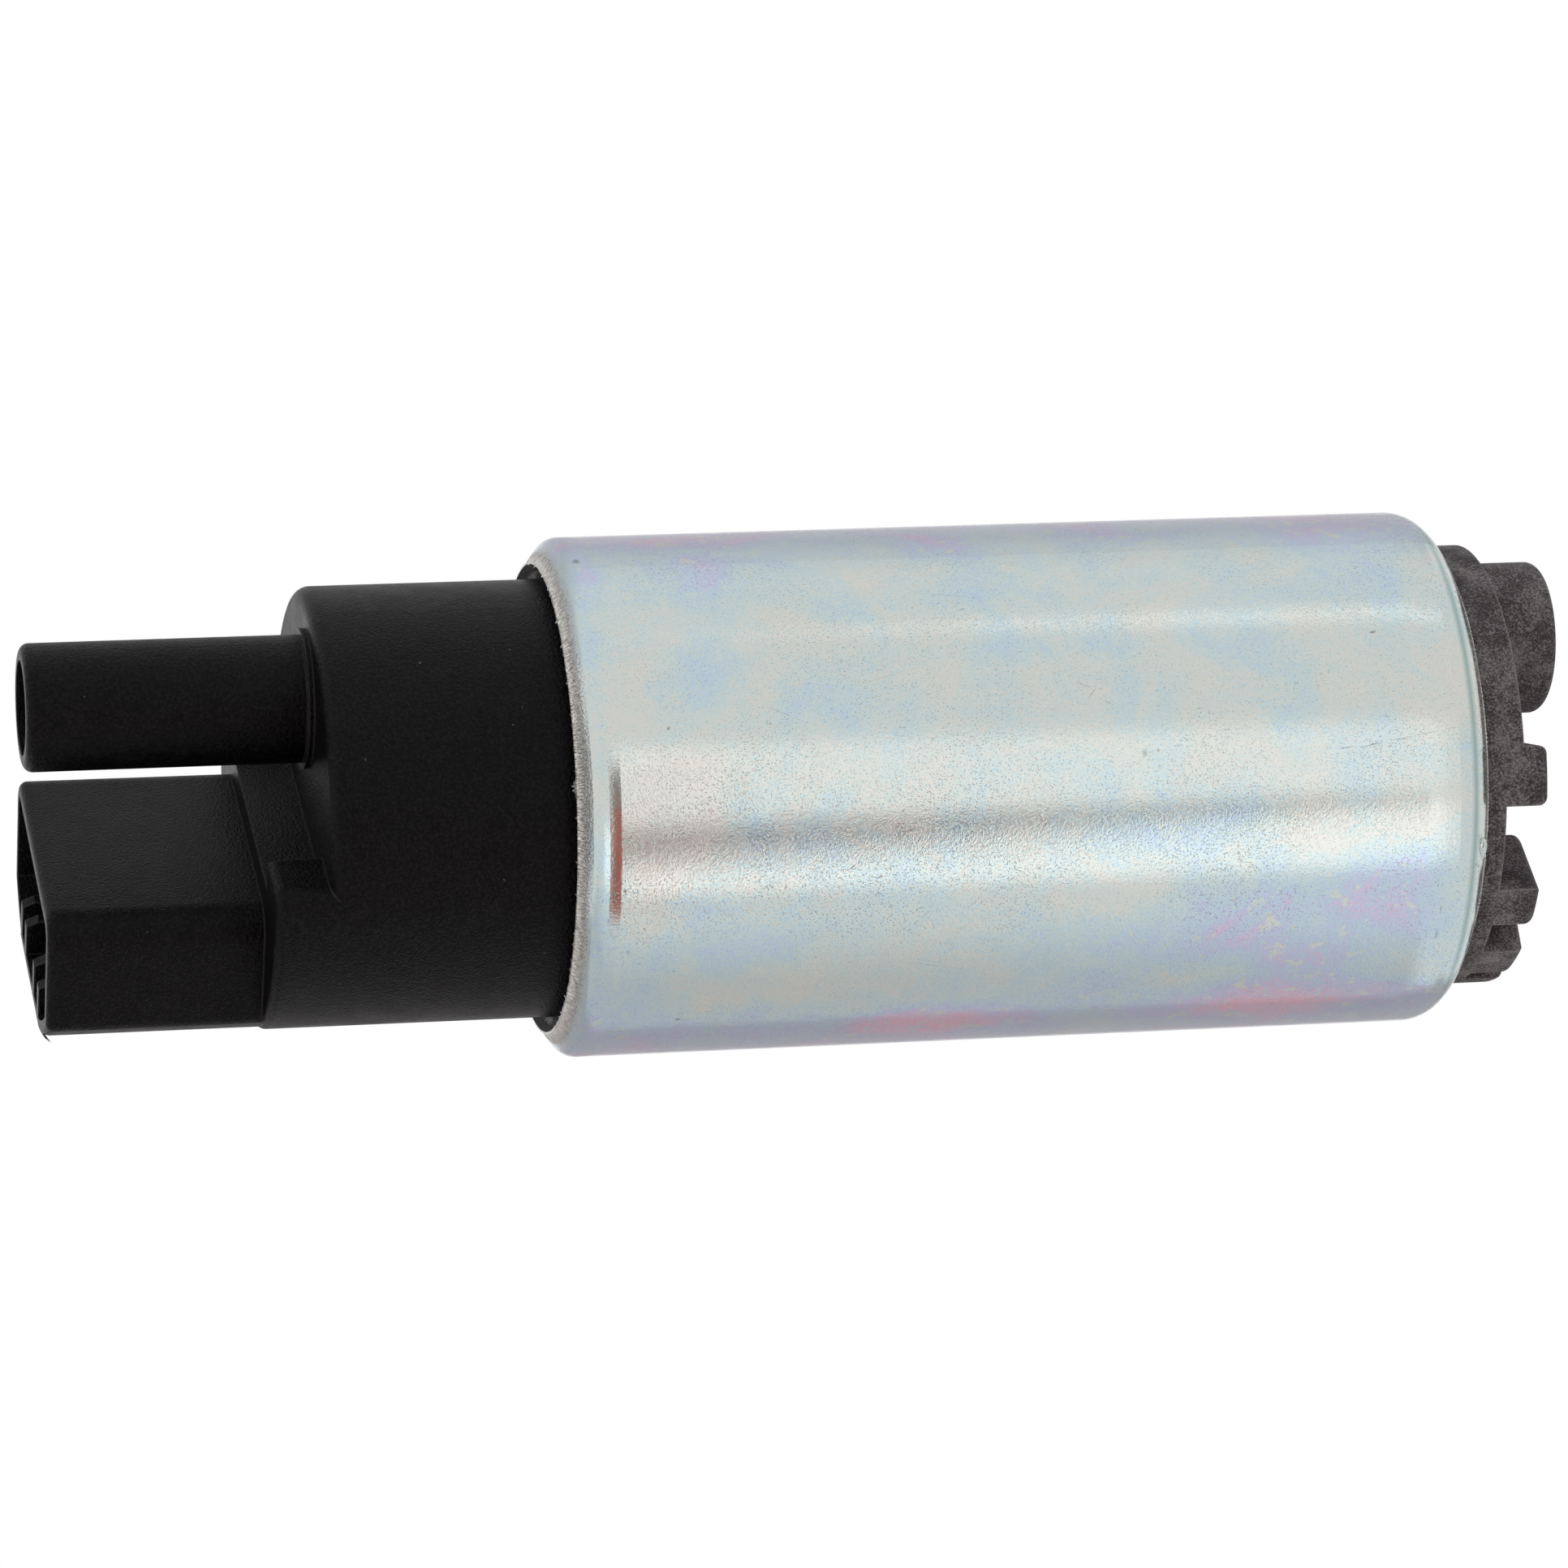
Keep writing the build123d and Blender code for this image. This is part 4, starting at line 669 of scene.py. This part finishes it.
# %% List of finishes
finishes = {
    # zinc plate under a clear film: satin silver, with pale colours that drift and dark pits
    "zinc_steel": case_finish,
    # glass-filled nylon from a spark-eroded tool: deep black, evenly grained, with a soft sheen
    "black_moulding": moulded_plastic("black_glass_filled_nylon", "#000001", "#151416", "#454446", grain=0.23,
                                      depth=0.12, roughness=0.34, gloss=0.10, mottle=0.25),
    # phenolic full of mineral: dark grey and matt, mottled where the filler comes through
    "pump_moulding": moulded_plastic("grey_mineral_phenolic", "#393536", "#837e7f", "#8a8687", grain=0.16,
                                     depth=0.05, roughness=0.75, gloss=0.2, mottle=0.7),
    # nitrile rubber: black and dull, nearly smooth
    "seal_rubber": moulded_plastic("nitrile_rubber", "#0c0c0c", "#161616", "#1c1c1c", grain=0.3, depth=0.01,
                                   roughness=0.6, gloss=0.3),
    # tin on brass: pale silver, with faint lines along the blade
    "terminal_tin": plain_metal("tinned_brass", "#c9c5b9", roughness=0.28, mark_size=0.3, along=0.2),
    # acetal without colour: milky white and waxy
    "valve_polymer": moulded_plastic("natural_acetal", "#d3cfc0", "#e2ded2", "#e8e5da", grain=0.4,
                                     depth=0.004, roughness=0.4, gloss=0.5),
    # brass from the lathe: warm yellow, finely marked
    "valve_brass": plain_metal("turned_brass", "#c9a454", roughness=0.25, mark_size=0.2),
    # drawn spring wire: mid grey, with a narrow bright line along each turn
    "spring_steel": plain_metal("drawn_spring_wire", "#a9a9ab", roughness=0.3, mark_size=0.2),
    # polished bearing steel: a small bright mirror
    "ball_steel": plain_metal("bearing_steel", "#cfd0d2", roughness=0.1, mark_size=0.8, depth=0.001),
    # phenolic without colour: tan and half matt
    "holder_moulding": moulded_plastic("natural_phenolic", "#7d6846", "#9d8660", "#ab9570", grain=0.3,
                                       depth=0.01, roughness=0.5, gloss=0.5),
    # pressed carbon: nearly black and dusty
    "carbon": moulded_plastic("pressed_carbon", "#171718", "#2b2b2c", "#38383a", grain=0.2, depth=0.02,
                              roughness=0.6, gloss=0.5),
    # copper under clear enamel: orange red and glossy
    "copper": plain_metal("enamelled_copper", "#b5653a", roughness=0.28, mark_size=0.4),
    # ground ferrite: charcoal grey and dull, like fine stone
    "ferrite": moulded_plastic("ground_ferrite", "#28282a", "#3d3d40", "#4a4a4d", grain=0.25, depth=0.01,
                               roughness=0.55, gloss=0.5),
    # sintered bronze: brown gold, and too porous to shine
    "bush_bronze": plain_metal("sintered_bronze", "#a07a48", roughness=0.45, mark_size=0.15, depth=0.012),
    # ground steel: light grey, with a tight sheen
    "shaft_steel": plain_metal("ground_steel", "#c4c6c9", roughness=0.2, mark_size=0.15, depth=0.002),
    # stacked electrical sheet: mid grey, with a broad dull sheen
    "lamination": plain_metal("lamination_sheet", "#85878b", roughness=0.4, mark_size=0.5),
    # brown phenolic: dark and half matt
    "phenolic": moulded_plastic("brown_phenolic", "#2c1b16", "#44302a", "#54403a", grain=0.3, depth=0.01,
                                roughness=0.5, gloss=0.5),
}
print("finishes:", len(finishes))

# %% Finish every CAD node
for subpart in frame["record"]["subparts"]:
    mesh = nodes[subpart["node"]].data
    mesh.materials.clear()
    mesh.materials.append(finishes[subpart["material_slot"]])

# %% [markdown]
# ## Surfaces from arrays
# Every piece below is a grid of points worked out as whole arrays. One function turns such a grid
# into a closed mesh, merges the points that meet at seams and poles, and lets the piece ride on the
# pump. Uneven edges come from a sum of waves with fixed random phases, so each run is the same.

# %% Surfaces from arrays
MERGE = 1e-7  # points closer than this, in metres, are one


def ripple(angles, counts, seed):
    """Uneven wave round a circle, from -1 to 1: a sum of cosines with whole numbers of turns.

    Each count has a random phase and a random share between a half and one.
    """
    dice = np.random.default_rng(seed)
    counts = np.asarray(counts)
    shares = dice.uniform(0.5, 1.0, counts.size)
    phases = dice.uniform(0, 2 * np.pi, counts.size)
    waves = shares[:, None] * np.cos(counts[:, None] * angles[None, :] + phases[:, None])
    return waves.sum(0) / np.abs(waves.sum(0)).max()


def surface(name, points, slot, around=True):
    """A piece from a grid of points, rows by columns, whose columns close into a loop.

    The rows close into a ring if around is true. Otherwise the first and last rows are points.
    """
    rows, columns = points.shape[:2]
    numbers = np.arange(rows * columns).reshape(rows, columns)
    if around:
        numbers = np.vstack((numbers, numbers[:1]))
    numbers = np.hstack((numbers, numbers[:, :1]))
    quads = np.stack((numbers[:-1, :-1], numbers[1:, :-1], numbers[1:, 1:], numbers[:-1, 1:]), -1)
    piece_mesh = bpy.data.meshes.new(name)
    piece_mesh.from_pydata(points.reshape(-1, 3).tolist(), [], quads.reshape(-1, 4).tolist())
    shape = bmesh.new()
    shape.from_mesh(piece_mesh)
    bmesh.ops.remove_doubles(shape, verts=shape.verts, dist=MERGE)
    bmesh.ops.recalc_face_normals(shape, faces=shape.faces)
    shape.to_mesh(piece_mesh)
    shape.free()
    piece_mesh.materials.append(finishes[slot])
    piece = bpy.data.objects.new(name, piece_mesh)
    bpy.context.scene.collection.objects.link(piece)
    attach(piece, "pump")
    print(name, "faces:", len(piece_mesh.polygons))
    return piece


print("ripple at four angles:", ripple(np.arange(4.0), (3, 5), 1).round(2))

# %% [markdown]
# ## Torn steel edges
# Rolling a plated tube shut tears the edge of the steel: at the outlet end it stands up in small
# fins and loose burrs, and at the inlet end the crimping rollers leave a fine saw edge. Displacing
# the CAD mesh isn't allowed and a bump can't change an outline, so each edge gets a thin ring of its
# own, half sunk in the steel: a small closed profile carried round the axis, whose height changes
# with the angle.

# %% Outlet lip and inlet crimp
LIP_EDGE_R = 17.15 * MM
LIP_EDGE_Z = 33.53 * MM
LIP_LEAN = math.radians(54.0)
LIP_FOOT = 0.07 * MM
CRIMP_EDGE_R = 16.78 * MM
CRIMP_EDGE_Z = -33.60 * MM
CRIMP_LEAN = math.pi  # straight down
CRIMP_FOOT = 0.06 * MM
EDGE_STEPS = 2400
BURR_ANGLE = math.radians(-57.5)  # of the tall burr, and half its width
BURR_HALF = math.radians(1.6)
# heights of the outlet lip's fin: the least, its waves, its burrs and the tall burr
LIP_LEAST_MM = 0.02
LIP_WAVES_MM = 0.05
LIP_BURRS_MM = 0.3
LIP_TALL_MM = 0.5
# heights of the inlet edge's fin: the least, and half of what its tallest teeth add
CRIMP_LEAST_MM = 0.05
CRIMP_TEETH_MM = 0.06


def torn_ring(name, radius, height, lean, foot, rise):
    """Thin fin round the axis, standing on an edge of the steel.

    foot is its half thickness and rise its height at each angle. The fin leans inwards by lean from
    the axis. Its profile is a triangle with its tip up and its foot sunk in the steel.
    """
    angles = np.linspace(0, 2 * np.pi, EDGE_STEPS, endpoint=False)
    reach = rise(angles)
    along = np.array((-math.sin(lean), math.cos(lean)))
    beside = np.array((math.cos(lean), math.sin(lean)))
    corners = [np.array((radius, height)) + side * foot * beside - foot * along for side in (-1.0, 1.0)]
    tip = np.array((radius, height))[None, :] + reach[:, None] * along[None, :]
    feet = [np.broadcast_to(corner, tip.shape) for corner in corners]
    profile = np.stack((feet[0], tip, feet[1]), 1)
    points = np.stack((profile[..., 0] * np.cos(angles)[:, None], profile[..., 0] * np.sin(angles)[:, None],
                       profile[..., 1]), -1)
    return surface(name, points, "zinc_steel")


def lip_rise(angles):
    """Height of the outlet lip's fin: low waves, with burrs where a finer wave peaks.

    One burr stands tall at BURR_ANGLE, where a bell curve as wide as BURR_HALF lifts the fine wave.
    """
    low = 0.5 + 0.5 * ripple(angles, (7, 19, 43, 71), 3)
    peaks = np.clip(ripple(angles, (97, 131, 173, 211, 263), 5) - 0.35, 0, None)
    offset = np.remainder(angles - BURR_ANGLE + np.pi, 2 * np.pi) - np.pi
    burr = np.exp(-(offset / BURR_HALF) ** 2) * (0.6 + 0.4 * ripple(angles, (301, 397), 9))
    return (LIP_LEAST_MM + LIP_WAVES_MM * low + LIP_BURRS_MM * peaks + LIP_TALL_MM * burr) * MM


def crimp_rise(angles):
    """Height of the inlet edge's teeth: a fine wave, stronger and weaker round the edge."""
    strength = 0.6 + 0.4 * ripple(angles, (5, 9, 14), 7)
    return (CRIMP_LEAST_MM + CRIMP_TEETH_MM * strength * (1 + ripple(angles, (310, 337, 402), 8))) * MM


torn_ring("lip_torn_edge", LIP_EDGE_R, LIP_EDGE_Z, LIP_LEAN, LIP_FOOT, lip_rise)
torn_ring("crimp_torn_edge", CRIMP_EDGE_R, CRIMP_EDGE_Z, CRIMP_LEAN, CRIMP_FOOT, crimp_rise)

# %% [markdown]
# ## Fold in the crimp
# Where the crimping rollers start and stop, the steel buckles into one small fold. A fold is a
# ridge, so it is a round profile carried along a short arc of the edge, thickest in its middle and
# shut at both ends. Two more little ridges run out from it, as the real fold has.

# %% Crimp fold
FOLD_R = 18.05 * MM
FOLD_Z = -32.95 * MM
FOLD_ANGLE = math.radians(-79.7)
FOLD_ROWS = 40
FOLD_COLUMNS = 16
# name, angle from the fold's and half the piece's angle in degrees, then in mm: radius and height
# from the fold's, thickness and sway
FOLDS = (
    ("crimp_fold", 0.0, 2.9, 0.0, 0.0, 0.34, 0.12),
    ("crimp_fold_end_1", -3.4, 0.9, 0.25, 0.45, 0.26, 0.05),
    ("crimp_fold_end_2", 3.4, 0.9, 0.25, 0.45, 0.26, 0.05),
)


def fold(name, angle, half_angle, radius, height, thick, sway):
    """A ridge along the edge: circles of radius thick * sqrt(1 - s * s) for s from -1 to 1.

    Its middle line lies at angle + s * half_angle, and at radius + sway * sin(2.2 * s).
    """
    s = np.linspace(-1, 1, FOLD_ROWS)
    middle = angle + s * half_angle
    ring = np.linspace(0, 2 * np.pi, FOLD_COLUMNS, endpoint=False)
    size = thick * np.sqrt(np.clip(1 - s * s, 0, None))
    out = (radius + sway * np.sin(2.2 * s))[:, None] + size[:, None] * np.cos(ring)[None, :]
    up = height + size[:, None] * np.sin(ring)[None, :]
    points = np.stack((out * np.cos(middle)[:, None], out * np.sin(middle)[:, None], up), -1)
    return surface(name, points, "zinc_steel", around=False)


for name, turn, half_turn, out, up, thick, sway in FOLDS:
    fold(name, FOLD_ANGLE + math.radians(turn), math.radians(half_turn), FOLD_R + out * MM, FOLD_Z + up * MM,
         thick * MM, sway * MM)

# %% [markdown]
# ## Torn flash on the socket's corner
# The plastic forced out between the halves of the mould leaves a thin skin, and at one corner of
# this socket it's torn. Each shred is a flat oval section carried along a bent line, which shrinks
# to a point at its free end.

# %% Socket flash
SHRED_ROOT = np.array((-13.9, -7.2, 70.1)) * MM
SHRED_ROWS = 14
SHRED_COLUMNS = 12
# where it starts, which way it points and how far it curls, all in mm, then its half width
SHREDS = (
    ((0.0, 0.0, 0.0), (-0.55, -0.50, -0.25), (0.1, -0.1, -0.3), 0.22),
    ((0.25, -0.5, 0.1), (-0.40, -0.45, -0.65), (-0.2, 0.1, 0.2), 0.18),
    ((-0.15, 0.7, 0.15), (-0.60, -0.10, -0.30), (0.2, -0.2, 0.1), 0.16),
    ((0.5, -1.1, 0.1), (-0.45, -0.40, -0.20), (0.1, 0.2, -0.2), 0.14),
)


def shred(name, start_mm, along_mm, curl_mm, half_width):
    """A shred of flash: ovals along start + s * along + s * s * curl, s from 0 to 1.

    The oval's half width falls as 1 - s * s, and it is a quarter as thick as it is wide.
    """
    s = np.linspace(0, 1, SHRED_ROWS)
    line = SHRED_ROOT + (np.array(start_mm) + s[:, None] * np.array(along_mm)
                         + (s * s)[:, None] * np.array(curl_mm)) * MM
    wide = np.cross(along_mm, (0.0, 0.0, 1.0))
    wide = wide / np.linalg.norm(wide)
    thin = np.cross(wide, along_mm)
    thin = thin / np.linalg.norm(thin)
    size = half_width * MM * (1 - s * s)
    ring = np.linspace(0, 2 * np.pi, SHRED_COLUMNS, endpoint=False)
    offset = np.cos(ring)[:, None] * wide + 0.25 * np.sin(ring)[:, None] * thin
    points = line[:, None, :] + size[:, None, None] * offset[None, :, :]
    root = np.broadcast_to(line[:1, None, :], points[:1].shape)
    return surface(name, np.concatenate((root, points)), "black_moulding", around=False)


for number, measures in enumerate(SHREDS):
    shred(f"socket_flash_{number + 1}", *measures)

# %% [markdown]
# ## Springs and pigtails in round wire
# Four small springs press on what moves: the plunger and the ball of the two valves, and the two
# carbon brushes, which also have a braided copper pigtail each. The CAD wire is six-sided, and a CAD
# mesh keeps its length, so at a joint's limit the moving piece would stand in its spring. Each of
# them gets a piece of its own in round wire: a small circle carried along a helix or a bend. The
# piece takes the CAD wire's place.

# %% Round wire
WIRE_SIDES = 12
TURN_STEPS = 28
TAIL_STEPS = 40
# CAD node, its joint, the wire's thickness in mm, turns
SPRINGS = (
    ("check_spring", "check_valve_lift", 0.4, 5),
    ("relief_spring", "relief_valve_lift", 0.35, 4),
    ("brush_spring_a", "brush_a_slide", 0.5, 6),
    ("brush_spring_b", "brush_b_slide", 0.5, 6),
)
PIGTAILS = (("pigtail_a", "brush_a_slide"), ("pigtail_b", "brush_b_slide"))


def wire(node, line, radius, slot):
    """Round wire along a line, in place of a CAD node: circles square to the line, shut at both ends.

    A circle's first direction is level, the line's direction crossed with the axis, and its second
    is that one crossed with the line's direction.
    """
    ahead = np.gradient(line, axis=0)
    level = np.cross(ahead, (0.0, 0.0, 1.0))
    square = np.cross(level, ahead)
    level = level / np.linalg.norm(level, axis=1)[:, None]
    square = square / np.linalg.norm(square, axis=1)[:, None]
    ring = np.linspace(0, 2 * np.pi, WIRE_SIDES, endpoint=False)
    circles = np.cos(ring)[:, None] * level[:, None, :] + np.sin(ring)[:, None] * square[:, None, :]
    points = line[:, None, :] + radius * circles
    ends = [np.broadcast_to(point, points[:1].shape) for point in (line[0], line[-1])]
    piece = surface(node + "_wire", np.concatenate((ends[0], points, ends[1])), slot, around=False)
    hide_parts(node)
    return piece


print("springs:", len(SPRINGS), "pigtails:", len(PIGTAILS))

# %% Springs
for node, joint, wire_mm, turns in SPRINGS:
    low, high = (np.array(corner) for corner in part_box(node))
    half_wire = wire_mm * MM / 2
    # a helix: round by equal angles while it climbs by equal steps
    angles = np.linspace(0, 2 * np.pi * turns, TURN_STEPS * turns + 1)
    reach = (high[0] - low[0]) / 2 - half_wire
    helix = np.stack((reach * np.cos(angles), reach * np.sin(angles),
                      np.linspace(low[2] + half_wire, high[2] - half_wire, angles.size)), 1)
    helix[:, :2] += (low[:2] + high[:2]) / 2
    spring = wire(node, helix, half_wire, "spring_steel")
    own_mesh(spring)

# %% Pigtails
for node, joint in PIGTAILS:
    low, high = (np.array(corner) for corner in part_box(node))
    half_wire = (high[1] - low[1]) / 2
    # from the brush, level, up an even bend to the choke: its height goes as 3 s^2 - 2 s^3
    s = np.linspace(0, 1, TAIL_STEPS)
    rise = high[2] - low[2] - 2 * half_wire
    bend = np.stack((high[0] + (low[0] - high[0]) * s, np.full(s.size, (low[1] + high[1]) / 2),
                     low[2] + half_wire + rise * (3 * s ** 2 - 2 * s ** 3)), 1)
    pigtail = wire(node, bend, half_wire, "copper")
    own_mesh(pigtail)
